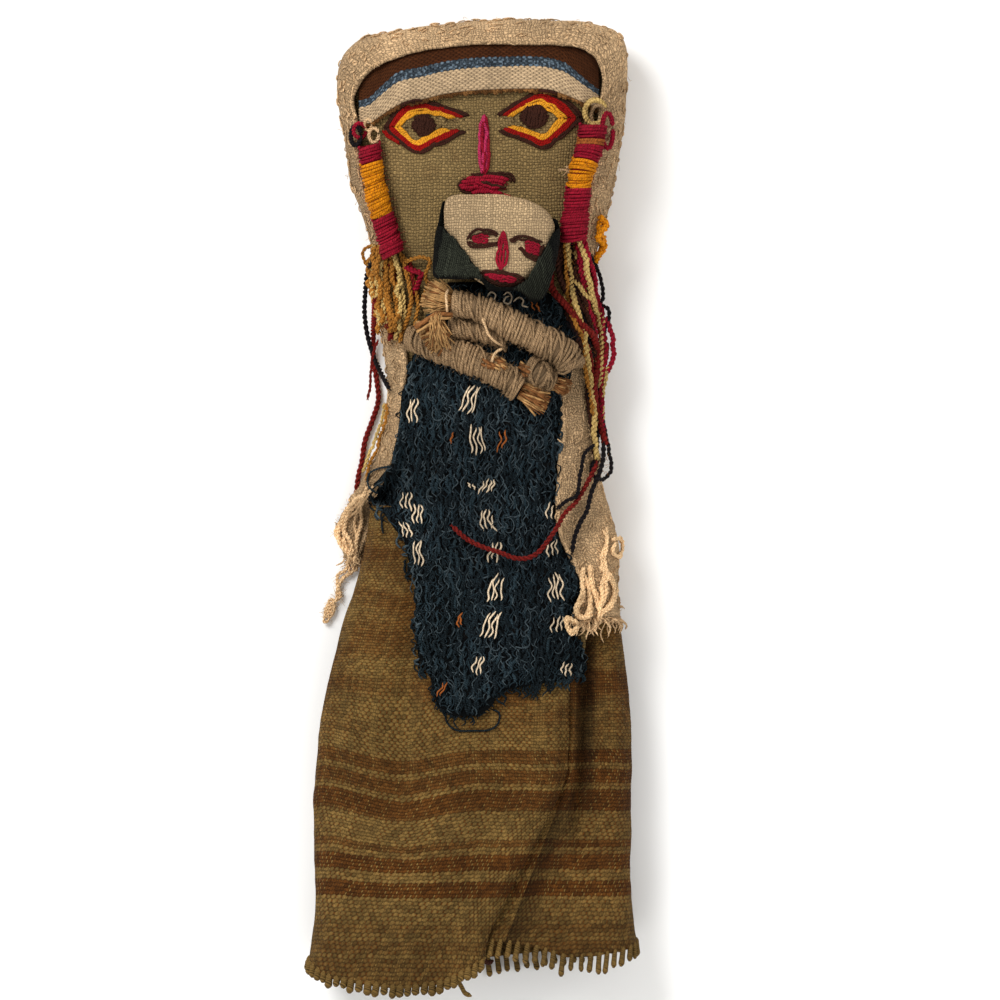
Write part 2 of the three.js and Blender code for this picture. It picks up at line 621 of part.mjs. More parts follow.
// Loose two-ply yarns that have come away from the tassels
const YARNS = {
  red_yarn_right: { finish: crimson, radius: 0.8, steps: 18, way: [
    [36, 11, 26.4], [34.1, 7, 25.4], [29.6, -0.8, 28], [26.2, -4.2, 30.2], [23.6, -8.7, 32.4],
    [17.9, -16.2, 33.5], [14.5, -17.9, 33.9], [10.8, -17.9, 34], [6.3, -16.2, 34], [0.7, -14.4, 33.9],
    [-4.2, -11.9, 33.6], [-8.4, -8.2, 33.2]] },
  black_yarn_right: { finish: black, radius: 0.8, steps: 10, way: [
    [38.2, 17.5, 26.3], [38.1, 13, 26.7], [37, 8.6, 27.1], [34.5, 2.5, 26.2], [33, -3.5, 27.3],
    [31.1, -6.9, 28.4], [29.2, -11.7, 29.4], [28.5, -16.2, 30]] },
  red_yarn_left: { finish: crimson, radius: 0.9, steps: 15, way: [
    [-32.6, 62, 22], [-33, 57, 12], [-33.4, 51, 3.4], [-33.4, 45, 1.4], [-32.3, 37.3, 1], [-31.8, 31.2, 1],
    [-33.6, 25, 1], [-36, 18.3, 1], [-37, 11.6, 1], [-38, 7.5, 1.2], [-38.8, 1.3, 1.4]] },
  black_yarn_left: { finish: black, radius: 0.8, steps: 13, way: [
    [-32, 75.5, 22.6], [-34.6, 72, 17], [-35.8, 64, 10], [-36, 58, 7], [-35.2, 51.8, 6], [-33.2, 45, 9],
    [-31, 40, 14.5], [-28.2, 34.6, 20.4]] },
};
function looseYarns() {
  const turned = (radius, turn) => new THREE.Vector2(radius * Math.cos(turn), radius * Math.sin(turn));
  for (const [name, { finish, radius, steps, way }] of Object.entries(YARNS)) {
    const corner = (_, i) => turned(radius, (i * FULL_TURN) / YARN_SIDES);
    const section = new THREE.Shape(Array.from({ length: YARN_SIDES }, corner));
    const places = way.map((p) => new THREE.Vector3(...p));
    const extrudePath = new THREE.CatmullRomCurve3(places, false, "centripetal");
    const yarn = new THREE.ExtrudeGeometry(section, { steps, extrudePath, bevelEnabled: false });
    add(name, warp(yarn, (x, y, z) => new THREE.Vector3(x, y, z)), finish());
  }
}

stuffedBody();
headcloth();
headband();
face();
childHead();
childHood();
indigoWrap();
arms();
locks();
tassels();
skirt();
looseYarns();

export default doll;
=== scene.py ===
# A cloth burial doll that holds a smaller doll, lying on its back.
# Shapes are worked out in millimetres, in the frame's own axes, and their meshes are in metres.
# A way is a list of places that a yarn runs through, and a finish is a material's number on its piece.
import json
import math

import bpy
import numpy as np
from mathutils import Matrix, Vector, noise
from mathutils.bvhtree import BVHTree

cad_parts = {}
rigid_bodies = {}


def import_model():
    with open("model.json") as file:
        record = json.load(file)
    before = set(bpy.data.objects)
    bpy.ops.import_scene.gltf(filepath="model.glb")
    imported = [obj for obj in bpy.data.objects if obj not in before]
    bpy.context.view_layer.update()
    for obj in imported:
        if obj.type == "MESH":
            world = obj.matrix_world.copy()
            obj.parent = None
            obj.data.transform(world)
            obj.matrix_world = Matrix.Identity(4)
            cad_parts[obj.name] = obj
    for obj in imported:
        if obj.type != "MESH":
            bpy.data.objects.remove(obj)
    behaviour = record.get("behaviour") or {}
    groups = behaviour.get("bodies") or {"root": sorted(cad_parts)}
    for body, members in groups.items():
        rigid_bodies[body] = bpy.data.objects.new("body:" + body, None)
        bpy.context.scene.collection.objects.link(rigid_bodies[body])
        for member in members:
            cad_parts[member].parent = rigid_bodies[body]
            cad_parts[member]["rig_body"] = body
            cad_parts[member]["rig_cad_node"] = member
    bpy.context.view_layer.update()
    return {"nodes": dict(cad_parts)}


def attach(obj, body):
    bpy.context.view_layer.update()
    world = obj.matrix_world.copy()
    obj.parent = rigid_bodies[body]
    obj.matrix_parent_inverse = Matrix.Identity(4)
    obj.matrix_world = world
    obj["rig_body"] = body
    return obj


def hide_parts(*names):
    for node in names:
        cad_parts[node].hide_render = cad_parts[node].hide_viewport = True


bl_info = {
    "name": "Burial doll",
    "version": (1, 0, 0),
    "blender": (4, 5, 0),
    "location": "View3D > Sidebar > Doll",
    "description": "Builds the cloth, yarn and reed of a burial doll round its solids",
    "category": "Add Mesh",
}

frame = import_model()

MM = 0.001
FULL_TURN = 2 * math.pi
SKY = 200  # a height well above the doll, to look down from
BODY = "root"
FIBRE = 0.06  # radius of a single loose fibre


# Lines and surfaces

def spline(points, step=0.6):
    """A smooth line through the points, with a place about every step."""
    p = np.array(points, float)
    p = np.vstack([2 * p[0] - p[1], p, 2 * p[-1] - p[-2]])
    found = []
    for a, b, c, d in zip(p, p[1:], p[2:], p[3:]):
        t1 = np.linalg.norm(b - a) ** 0.5
        t2 = t1 + np.linalg.norm(c - b) ** 0.5
        t3 = t2 + np.linalg.norm(d - c) ** 0.5
        count = max(1, math.ceil(np.linalg.norm(c - b) / step))
        t = np.linspace(t1, t2, count, endpoint=False)[:, None]
        first = (t1 - t) / t1 * a + t / t1 * b
        second = (t2 - t) / (t2 - t1) * b + (t - t1) / (t2 - t1) * c
        third = (t3 - t) / (t3 - t2) * c + (t - t2) / (t3 - t2) * d
        early = (t2 - t) / t2 * first + t / t2 * second
        late = (t3 - t) / (t3 - t1) * second + (t - t1) / (t3 - t1) * third
        found.append((t2 - t) / (t2 - t1) * early + (t - t1) / (t2 - t1) * late)
    found.append(p[-2][None])
    return np.vstack(found)


def lengths(path):
    """The distance along a path at each of its points."""
    return np.r_[0, np.cumsum(np.linalg.norm(np.diff(path, axis=0), axis=1))]


def read_at(path, along, at):
    """The places on a path at those distances along it."""
    return np.stack([np.interp(at, along, column) for column in path.T], axis=-1)


def stretched(values, count):
    """A list of numbers read at that many even places."""
    return np.interp(np.linspace(0, 1, count), np.linspace(0, 1, len(values)), values)


def evenly(path, count):
    """The same path with that many points, an equal distance apart."""
    along = lengths(path)
    return read_at(path, along, np.linspace(0, along[-1], count))


def directions(path):
    """Tangent and two directions square to it at each point of a path, turning as little as they can."""
    step = np.gradient(path, axis=0)
    tangent = step / np.maximum(np.linalg.norm(step, axis=1, keepdims=True), 1e-9)
    normal = np.empty_like(path)
    last = np.cross(tangent[0], (0.31, 0.17, 0.94))
    for i, t in enumerate(tangent):
        last = last - t * last.dot(t)
        last = last / np.linalg.norm(last)
        normal[i] = last
    return tangent, normal, np.cross(tangent, normal)


def ripple(points, size, seed=0):
    """Smooth noise from about -1 to 1 at each point, with waves of about that size."""
    shift = Vector((7.1 * seed, 3.7 * seed, 5.3 * seed))
    flat = points.reshape(-1, 3) / size
    found = [noise.noise(Vector(p) + shift) for p in flat]
    return np.array(found).reshape(points.shape[:-1])


def softened(grid, passes):
    """A grid of points, each drawn towards its neighbours."""
    for _ in range(passes):
        moved = grid.copy()
        moved[:, 1:-1] = (grid[:, :-2] + 2 * grid[:, 1:-1] + grid[:, 2:]) / 4
        moved[1:-1] = (moved[:-2] + 2 * moved[1:-1] + moved[2:]) / 4
        grid = moved
    return grid


def outward(grid):
    """Unit normals of a grid of points, along its rows crossed with its columns."""
    down = np.gradient(grid, axis=0)
    across = np.gradient(grid, axis=1)
    found = np.cross(across, down)
    return found / np.maximum(np.linalg.norm(found, axis=-1, keepdims=True), 1e-9)


def at_least(path, low):
    """A path or grid with no point below a height. It is changed in place."""
    path[..., 2] = np.maximum(path[..., 2], low)
    return path


def search_tree(mesh):
    """Finds places on a mesh, in millimetres."""
    points = [v.co / MM for v in mesh.vertices]
    return BVHTree.FromPolygons(points, [tuple(p.vertices) for p in mesh.polygons])


def solid(*names):
    """Search trees over solids of the frame."""
    return [search_tree(frame["nodes"][name].data) for name in names]


def surface_of(*names):
    """Search trees over finished pieces."""
    return [search_tree(bpy.data.objects[name].data) for name in names]


def height(trees, x, y, miss=0.0):
    """The highest surface at a place, seen from above."""
    found = [tree.ray_cast(Vector((x, y, SKY)), Vector((0, 0, -1)))[0] for tree in trees]
    return max([p.z for p in found if p is not None], default=miss)


def laid(plan, trees, radius, lift=0.0, step=0.6, passes=6):
    """A line given in plan, laid on what is below it. A point may carry its own lift."""
    plan = [tuple(p) + (0,) * (3 - len(p)) for p in plan]
    path = spline(plan, step)
    spread = [(0, 0), (radius, 0), (-radius, 0), (0, radius), (0, -radius)]
    low = np.array([max(height(trees, x + a, y + b) for a, b in spread) for x, y, _ in path])
    for _ in range(passes):
        soft = low.copy()
        soft[1:-1] = (low[:-2] + 2 * low[1:-1] + low[2:]) / 4
        low = np.maximum(soft, low - 0.15)
    path[:, 2] += low + radius + lift
    return path


class Strands:
    """Gathers yarns, fibres and strips of cloth, in millimetres, into one mesh."""

    def __init__(self, seed=1):
        self.points = []
        self.faces = []
        self.places = []
        self.finishes = []
        self.count = 0
        self.chance = np.random.default_rng(seed)

    def add(self, points, faces, places, finish):
        """Faces is a list of index lists, and places one list of texture places to match."""
        self.points.append(points.reshape(-1, 3))
        self.faces += [[self.count + i for i in face] for face in faces]
        self.places += places
        self.finishes += [finish] * len(faces)
        self.count += points.size // 3

    def rings(self, points, along, finish=0, girth=1.0):
        """A closed tube over rings of points, one ring for each distance along it."""
        steps, sides = points.shape[:2]
        i, j = np.meshgrid(np.arange(steps - 1), np.arange(sides), indexing="ij")
        k = (j + 1) % sides
        corners = np.stack([i * sides + j, i * sides + k, (i + 1) * sides + k, (i + 1) * sides + j], -1)
        u = np.stack([along[i], along[i], along[i + 1], along[i + 1]], -1)
        v = np.stack([j, j + 1, j + 1, j], -1) / sides * girth
        faces = corners.reshape(-1, 4).tolist()
        places = np.stack([u, v], -1).reshape(-1, 2).tolist()
        faces.append(list(range(sides - 1, -1, -1)))
        faces.append(list(range((steps - 1) * sides, steps * sides)))
        places += [[0, n / sides] for n in range(sides)] * 2
        self.add(points, faces, places, finish)

    def tube(self, path, radius, finish=0, sides=5, taper=0.0, girth=1.0):
        """A round strand. taper is the length over which each end thins."""
        path = np.asarray(path, float)
        _, normal, side = directions(path)
        along = lengths(path)
        size = np.broadcast_to(np.asarray(radius, float), len(path)).copy()
        if taper:
            ends = np.minimum(along, along[-1] - along) / taper
            size *= np.clip(ends, 0.12, 1) ** 0.5
        turn = np.linspace(0, FULL_TURN, sides, endpoint=False)
        ring = normal[:, None] * np.cos(turn)[:, None] + side[:, None] * np.sin(turn)[:, None]
        self.rings(path[:, None] + ring * size[:, None, None], along, finish, girth)

    def plied(self, path, radius, finish=0, twist=2.6, sides=5, loose=0.0):
        """Two strands wound round each other. loose makes the twist uneven."""
        _, normal, side = directions(path)
        along = lengths(path)
        wobble = loose * np.cumsum(self.chance.normal(0, 0.12, len(path)))
        for start in (0, math.pi):
            turn = (along / twist * FULL_TURN + start + wobble)[:, None]
            away = (normal * np.cos(turn) + side * np.sin(turn)) * radius * 0.5
            self.tube(path + away, radius * 0.56, finish, sides, taper=1.0)

    def wound(self, axis, core, yarn, pitch, finish=0, turn_steps=12, sides=5, uneven=0.05, span=(0, 1)):
        """A yarn wound round a curved core, turn beside turn, over a share of its length."""
        axis = evenly(axis, 60)
        tangent, normal, side = directions(axis)
        along = lengths(axis)
        turns = along[-1] * (span[1] - span[0]) / pitch
        s = np.linspace(span[0], span[1], int(turns * turn_steps)) * along[-1]
        size = np.interp(s, along, np.broadcast_to(core, len(axis))) + yarn * 0.6
        turn = (s - s[0]) / pitch * FULL_TURN
        lean = 0.5 * pitch * np.sin(turn + 0.8 + 0.5 * np.sin(turn * 0.031))
        bumps = uneven * np.sin(turn * 0.37 + 1.7) + uneven * np.sin(turn * 0.113)
        table = np.c_[axis, tangent, normal, side]
        middle, ahead, up, out = np.split(read_at(table, along, s), 4, axis=1)
        around = up * np.cos(turn)[:, None] + out * np.sin(turn)[:, None]
        path = middle + around * (size + bumps)[:, None] + ahead * lean[:, None]
        width = yarn * (1 + 0.12 * np.sin(turn * 0.23) + 0.08 * np.sin(turn * 0.071 + 2))
        self.tube(path, width, finish, sides)

    def fuzz(self, axis, radius, count, reach, finish=0):
        """Short fibres that stand off a rod, and stay above the table."""
        chance = self.chance
        _, normal, side = directions(axis)
        radius = np.broadcast_to(radius, len(axis))
        for _ in range(count):
            k = int(chance.integers(0, len(axis)))
            turn = chance.uniform(0, FULL_TURN)
            out = normal[k] * math.cos(turn) + side[k] * math.sin(turn)
            drift = chance.normal(0, 0.6 * reach, 3)
            foot = axis[k] + out * (radius[k] - 0.3)
            tip = foot + out * (0.3 + reach * chance.uniform(0.1, 0.6)) + drift
            path = np.array([foot, (foot + tip) / 2 + out * 0.25, tip])
            self.tube(at_least(path, 0.2), FIBRE, finish, 3)

    def hairs(self, line, count, reach, finish, trees):
        """Short fibres that lie about a line of stitches."""
        chance = self.chance
        line = np.array(line, float)
        for _ in range(count):
            share = chance.uniform()
            x, y = (line[0] * (1 - share) + line[-1] * share)[:2] + chance.normal(0, 1.0, 2)
            turn = chance.uniform(0, FULL_TURN)
            way = np.array([math.cos(turn), math.sin(turn)]) * reach * chance.uniform(0.4, 1)
            plan = [(x, y), (x + 0.5 * way[0], y + 0.5 * way[1] + 0.2), (x + way[0], y + way[1])]
            self.tube(laid(plan, trees, 0.07, 0.5 * chance.uniform(), 0.5, 1), 0.07, finish, 3)

    def sheet(self, grid, finish=0, place=None):
        """A sheet through a grid of points. place gives each point's texture place."""
        rows, columns = grid.shape[:2]
        if place is None:
            middle = grid[rows // 2]
            u = np.broadcast_to(lengths(middle), (rows, columns))
            v = np.broadcast_to(lengths(grid[:, columns // 2])[:, None], (rows, columns))
            place = np.stack([u, v], -1)
        i, j = np.meshgrid(np.arange(rows - 1), np.arange(columns - 1), indexing="ij")
        corner = i * columns + j
        faces = np.stack([corner, corner + 1, corner + columns + 1, corner + columns], -1).reshape(-1, 4)
        places = place.reshape(-1, 2)[faces].reshape(-1, 2).tolist()
        self.add(grid, faces.tolist(), places, finish)

    def piece(self, name, finishes, slot, nodes=(), wall=0.0):
        """Makes the mesh an object that rides on the doll and stands for those solids."""
        mesh = bpy.data.meshes.new(name)
        mesh.from_pydata((np.vstack(self.points) * MM).tolist(), [], self.faces)
        layer = mesh.uv_layers.new(name="Place")
        layer.data.foreach_set("uv", np.array(self.places, np.float32).ravel())
        for finish in finishes:
            mesh.materials.append(finish)
        mesh.polygons.foreach_set("material_index", self.finishes)
        mesh.polygons.foreach_set("use_smooth", [True] * len(self.faces))
        made = bpy.data.objects.new(name, mesh)
        bpy.context.scene.collection.objects.link(made)
        if wall:
            thicken(made, wall)
        return dressed(made, nodes)


def only(piece):
    """Selects that piece alone and makes it active."""
    bpy.ops.object.select_all(action="DESELECT")
    piece.select_set(True)
    bpy.context.view_layer.objects.active = piece


def finish_modifiers(piece):
    only(piece)
    for modifier in list(piece.modifiers):
        bpy.ops.object.modifier_apply(modifier=modifier.name)


def thicken(piece, wall):
    """Gives a sheet of cloth its thickness, inwards from its face."""
    made = piece.modifiers.new("Wall", "SOLIDIFY")
    made.thickness = wall * MM
    made.offset = -1
    made.use_even_offset = False
    finish_modifiers(piece)


def dressed(piece, nodes):
    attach(piece, BODY)
    if nodes:
        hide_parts(*nodes)
    return piece


def soft_copy(node, name, levels):
    """A rounded copy of a padded solid, its facets joined and smoothed."""
    made = frame["nodes"][node].copy()
    made.data = made.data.copy()
    made.name = name
    made.parent = None
    bpy.context.scene.collection.objects.link(made)
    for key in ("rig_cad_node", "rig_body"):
        if key in made:
            del made[key]
    only(made)
    bpy.ops.object.mode_set(mode="EDIT")
    bpy.ops.mesh.select_all(action="SELECT")
    bpy.ops.mesh.remove_doubles(threshold=0.01 * MM)
    bpy.ops.mesh.tris_convert_to_quads()
    bpy.ops.object.mode_set(mode="OBJECT")
    smooth = made.modifiers.new("Smooth", "SUBSURF")
    smooth.levels = levels
    smooth.render_levels = levels
    finish_modifiers(made)
    made.data.materials.clear()
    bpy.ops.object.shade_smooth()
    return made


def push(piece, amount):
    """Moves each point of a piece along its normal by amount(places, normals), in millimetres."""
    mesh = piece.data
    places = np.array([v.co for v in mesh.vertices]) / MM
    normals = np.array([v.normal for v in mesh.vertices])
    moved = (places + normals * amount(places, normals)[:, None]) * MM
    mesh.vertices.foreach_set("co", moved.astype(np.float32).ravel())
    mesh.update()


# Finishes

def sign(operation, turned=False):
    """An arithmetic sign between a wire and a wire or number, which adds a math node."""
    def join(self, other):
        return self.wiring.math(operation, *((other, self) if turned else (self, other)))
    return join


class Wire:
    """An output of a shader node."""

    __add__, __radd__ = sign("ADD"), sign("ADD", True)
    __sub__, __rsub__ = sign("SUBTRACT"), sign("SUBTRACT", True)
    __mul__, __truediv__, __gt__ = sign("MULTIPLY"), sign("DIVIDE"), sign("GREATER_THAN")

    def __init__(self, wiring, socket):
        self.wiring = wiring
        self.socket = socket


class Wiring:
    """Adds shader nodes to a tree and joins them."""

    def __init__(self, tree):
        self.tree = tree

    def node(self, kind, inputs=None, **settings):
        """Adds a node and feeds its inputs, which are given by name or number."""
        made = self.tree.nodes.new(kind)
        for key, value in settings.items():
            setattr(made, key, value)
        for key, value in (inputs or {}).items():
            self.feed(made.inputs[key], value)
        return made

    def feed(self, socket, value):
        if isinstance(value, Wire):
            self.tree.links.new(value.socket, socket)
        else:
            socket.default_value = value

    def out(self, kind, inputs=None, output=0, **settings):
        """Adds a node and gives the wire from one of its outputs."""
        return Wire(self, self.node(kind, inputs, **settings).outputs[output])

    def math(self, operation, *values, clamp=False):
        return self.out("ShaderNodeMath", dict(enumerate(values)), operation=operation, use_clamp=clamp)

    def vector(self, operation, *values):
        return self.out("ShaderNodeVectorMath", dict(enumerate(values)), operation=operation)

    def mix(self, share, first, second, blend="MIX"):
        inputs = {0: share, 6: first, 7: second}
        return self.out("ShaderNodeMix", inputs, 2, data_type="RGBA", blend_type=blend)

    def dimmed(self, colour, tone):
        """A colour times a grey."""
        return self.mix(1.0, colour, self.combine(tone, tone, tone), "MULTIPLY")

    def spread(self, value, low, high, to_low=0.0, to_high=1.0, kind="SMOOTHSTEP"):
        inputs = dict(enumerate((value, low, high, to_low, to_high)))
        return self.out("ShaderNodeMapRange", inputs, interpolation_type=kind)

    def between(self, mask, low, high):
        return self.spread(mask, 0.0, 1.0, low, high, "LINEAR")

    def noise(self, place, scale, detail=2.0, output="Fac"):
        return self.out("ShaderNodeTexNoise", {"Vector": place, "Scale": scale, "Detail": detail}, output)

    def separate(self, vector):
        return [Wire(self, socket) for socket in self.node("ShaderNodeSeparateXYZ", {0: vector}).outputs]

    def combine(self, x, y, z=0.0):
        return self.out("ShaderNodeCombineXYZ", {0: x, 1: y, 2: z})

    def hump(self, away):
        """The height of a round thread at a squared distance from its middle."""
        return self.math("SQRT", self.math("SUBTRACT", 1.0, away, clamp=True))

    def effect(self, fill, place, values=None):
        """Places the node group that a function fills, and gives its outputs by name."""
        inputs = {"Place": place, **(values or {})}
        made = self.node("ShaderNodeGroup", inputs, node_tree=group_of(fill, inputs))
        return {socket.name: Wire(self, socket) for socket in made.outputs}

    def bump(self, shader, height, depth):
        """Raises a shader's surface. depth is in millimetres."""
        raised = self.out("ShaderNodeBump", {"Height": height, "Distance": depth * MM})
        self.feed(shader.inputs["Normal"], raised)


def group_of(fill, inputs):
    """The node group that a function fills. It is made once and named after the function."""
    name = fill.__name__.replace("_", " ").capitalize()
    if name in bpy.data.node_groups:
        return bpy.data.node_groups[name]
    tree = bpy.data.node_groups.new(name, "ShaderNodeTree")
    for label in inputs:
        kind = "NodeSocketVector" if label == "Place" else "NodeSocketFloat"
        tree.interface.new_socket(name=label, in_out="INPUT", socket_type=kind)
    w = Wiring(tree)
    given = w.node("NodeGroupInput").outputs
    found = fill(w, *[Wire(w, given[label]) for label in inputs])
    for label in found:
        tree.interface.new_socket(name=label, in_out="OUTPUT", socket_type="NodeSocketFloat")
    w.node("NodeGroupOutput", found)
    return tree


def weave_masks(w, raised, fibres, relief, depths, warp, thread, row):
    """What both weaves put out: relief is how far the fibres stand up, depths the span that is shaded."""
    return {
        "Height": raised + fibres * raised * relief,
        "Warp": warp,
        "Shade": w.out("ShaderNodeTexWhiteNoise", {"W": thread}, noise_dimensions="1D"),
        "Depth": w.spread(raised, *depths, 1.0, 0.0, "LINEAR"),
        "Ply": w.spread(fibres, -1.0, 1.0),
        "Row": row,
    }


def plain_weave(w, place, warp_gap, weft_gap):
    """Over and under threads. Place counts threads: across the warps in X and along them in Y."""
    x, y, _ = w.separate(place)
    column = w.math("FLOOR", x)
    row = w.math("FLOOR", y)
    from_warp = w.math("FRACT", x) - 0.5
    from_weft = w.math("FRACT", y) - 0.5
    weft_on_top = w.math("FRACT", (column + row) * 0.5) > 0.25
    difference = weft_on_top * (from_weft - from_warp)
    across = from_warp + difference
    along = from_weft - difference
    edge = across * 2.0 * (warp_gap + 1.0 + (weft_gap - warp_gap) * weft_on_top)
    bulge = w.math("SUBTRACT", 1.0, along * along * 2.6, clamp=True)
    raised = w.hump(edge * edge) * bulge
    fibres = w.math("SINE", (along + across * 0.9) * 13.0 + column * 1.7)
    warp = 1.0 - weft_on_top
    thread = row * weft_on_top + weft_on_top * 511.0 + column * warp
    return weave_masks(w, raised, fibres, 0.1, (0.0, 0.85), warp, thread, row)


def beaded_weave(w, place, warp_gap, weft_gap):
    """Thick threads that hide the ones that they cross. Their beads lie in rows along X, offset from row
    to row, and overlap a little. Place counts the hidden threads in X and the rows in Y."""
    x, y, _ = w.separate(place)
    row = w.math("FLOOR", y)
    from_row = w.math("FRACT", y) - 0.5
    side = w.math("SIGN", from_row)
    beads = []
    for level, off in ((row, from_row), (row + side, from_row - side)):
        pair = (x + level) * 0.5
        across = w.math("FRACT", pair) * 2.0 - 1.0
        tall = off * (1.4 + weft_gap)
        ridge = w.hump(across * across + tall * tall)
        beads.append((ridge, across, off, level, w.math("FLOOR", pair)))
    own, other = beads
    nearer = own[0] > other[0]
    bead = w.math("MAXIMUM", own[0], other[0])
    across, off, level, pair = [o + nearer * (m - o) for m, o in zip(own[1:], other[1:])]
    end = (1.0 - w.math("ABSOLUTE", own[1])) * 2.6
    tall = own[2] * 2.1
    knot = w.hump(end * end + tall * tall) * 0.84 - warp_gap
    raised = w.math("MAXIMUM", bead, knot)
    fibres = w.math("SINE", across * 2.6 + off * 5.0 + pair * 1.7)
    thread = level * 3.7 + pair * 0.61
    return weave_masks(w, raised, fibres, 0.07, (0.2, 0.95), knot > bead, thread, level)


def spun_fibre(w, place, pitch):
    """The fine slanting fibres of a spun strand. Place is millimetres along it and turns round it."""
    x, y, _ = w.separate(place)
    bent = x / pitch + y * 2.0 + w.noise(w.combine(x * 1.4, y), 1.0) * 1.2
    fleck = w.noise(w.combine(bent * 2.0, x * 0.35), 1.6, 3.0)
    return {
        "Height": w.spread(w.math("SINE", bent * FULL_TURN), -1.0, 1.0),
        "Shade": w.spread(fleck, 0.3, 0.7),
    }


def age(w, place):
    """Broad soft fading and small soiled spots, as masks over the surface."""
    return {
        "Fade": w.spread(w.noise(place, 0.045, 3.0), 0.35, 0.68),
        "Soil": w.spread(w.noise(place, 0.16, 4.0), 0.56, 0.74),
    }


def new_material(name, roughness):
    made = bpy.data.materials.new(name)
    made.use_nodes = True
    shader = made.node_tree.nodes["Principled BSDF"]
    shader.inputs["Roughness"].default_value = roughness
    shader.inputs["Specular IOR Level"].default_value = 0.1
    return made, Wiring(made.node_tree), shader


def on_piece(w, kind="UV"):
    return w.out("ShaderNodeTexCoord", output=kind)


def millimetres(w):
    """The place on the piece in millimetres, seen from above."""
    return w.out("ShaderNodeVectorMath", {0: on_piece(w, "Object"), "Scale": 1 / MM}, operation="SCALE")


def shade_of(colour, share=1.0):
    """A colour made lighter or darker, with its alpha."""
    return tuple(min(1.0, c * share) for c in colour[:3]) + (1.0,)


def cloth(name, warp, weft, threads, depth, gaps=(0.1, 0.1), waver=0.3, on_map=True, bands=None, dark=0.3,
          contrast=0.3, soil=0.3, ply=0.25, weave=plain_weave):
    """Woven cloth. threads is how many a millimetre holds, across and along, gaps how far warps and
    wefts stand apart, depth how far they stand up, and dark the shade between them. bands may give
    warp and weft colours that change with the place."""
    if name in bpy.data.materials:
        return bpy.data.materials[name]
    made, w, shader = new_material(name, 0.95)
    place = on_piece(w) if on_map else millimetres(w)
    counted = w.vector("MULTIPLY", place, (*threads, 1))
    pulls = []
    for scale, detail, reach in ((0.16, 2.0, 4.0), (0.8, 1.0, 1.6)):
        wander = w.vector("SUBTRACT", w.noise(place, scale, detail, "Color"), (0.5,) * 3)
        pulls.append(w.vector("MULTIPLY", wander, (reach * waver,) * 3))
    counted = w.vector("ADD", counted, w.vector("ADD", *pulls))
    woven = w.effect(weave, counted, {"Warp gap": gaps[0], "Weft gap": gaps[1]})
    old = w.effect(age, millimetres(w))
    warp, weft = bands(w, place, woven["Row"]) if bands else (warp, weft)
    # Besides the random tone, the colour is painted lighter on the ridges of the ply lines and darker in the
    # grooves between the threads, as painted light and shade.
    tone = w.between(woven["Shade"], 1 - contrast, 1 + 0.6 * contrast)
    twist = w.between(woven["Ply"], 1 - ply, 1 + 0.5 * ply)
    speck = w.spread(w.noise(place, 2.4, 3.0), 0.3, 0.7, 0.74, 1.24, "LINEAR")
    tone = tone * twist * (speck * w.between(old["Fade"], 0.86, 1.12)) * w.between(woven["Depth"], 1.0, dark)
    colour = w.dimmed(w.mix(woven["Warp"], weft, warp), tone)
    w.feed(shader.inputs["Base Color"], w.mix(old["Soil"] * soil, colour, (0.10, 0.05, 0.018, 1)))
    hair = w.noise(place, 6.0, 3.0) * 0.22
    w.bump(shader, woven["Height"] + hair + w.noise(place, 0.5) * 0.6, depth)
    return made


def yarn(name, colour, dark=None, light=None, pitch=0.7, depth=0.12):
    """Spun wool or cotton. Its fibres vary between a dark and a light shade of the colour."""
    if name in bpy.data.materials:
        return bpy.data.materials[name]
    made, w, shader = new_material(name, 0.85)
    fibre = w.effect(spun_fibre, on_piece(w), {"Pitch": pitch})
    # The ridges of the twist are painted lighter and the grooves between them darker, as painted light and
    # shade; the rest varies at random.
    ramp = w.node("ShaderNodeValToRGB", {0: fibre["Shade"] * 0.75 + fibre["Height"] * 0.3})
    steps = ramp.color_ramp.elements
    steps.new(0.5)
    dark = shade_of(dark) if dark else shade_of(colour, 0.42)
    light = shade_of(light) if light else shade_of(colour, 1.45)
    for step, at, shade in zip(steps, (0.08, 0.5, 0.95), (dark, shade_of(colour), light)):
        step.position = at
        step.color = shade
    fade = w.between(w.effect(age, millimetres(w))["Fade"], 0.78, 1.15)
    w.feed(shader.inputs["Base Color"], w.dimmed(Wire(w, ramp.outputs[0]), fade))
    w.bump(shader, fibre["Height"], depth)
    return made


# What a user may change

def colour_property(label, about, value):
    return bpy.props.FloatVectorProperty(
        name=label, description=about, subtype="COLOR", size=3, min=0, max=1, default=value
    )


def size_property(label, about, value):
    return bpy.props.FloatProperty(name=label, description=about, default=value, min=0.1, max=40)


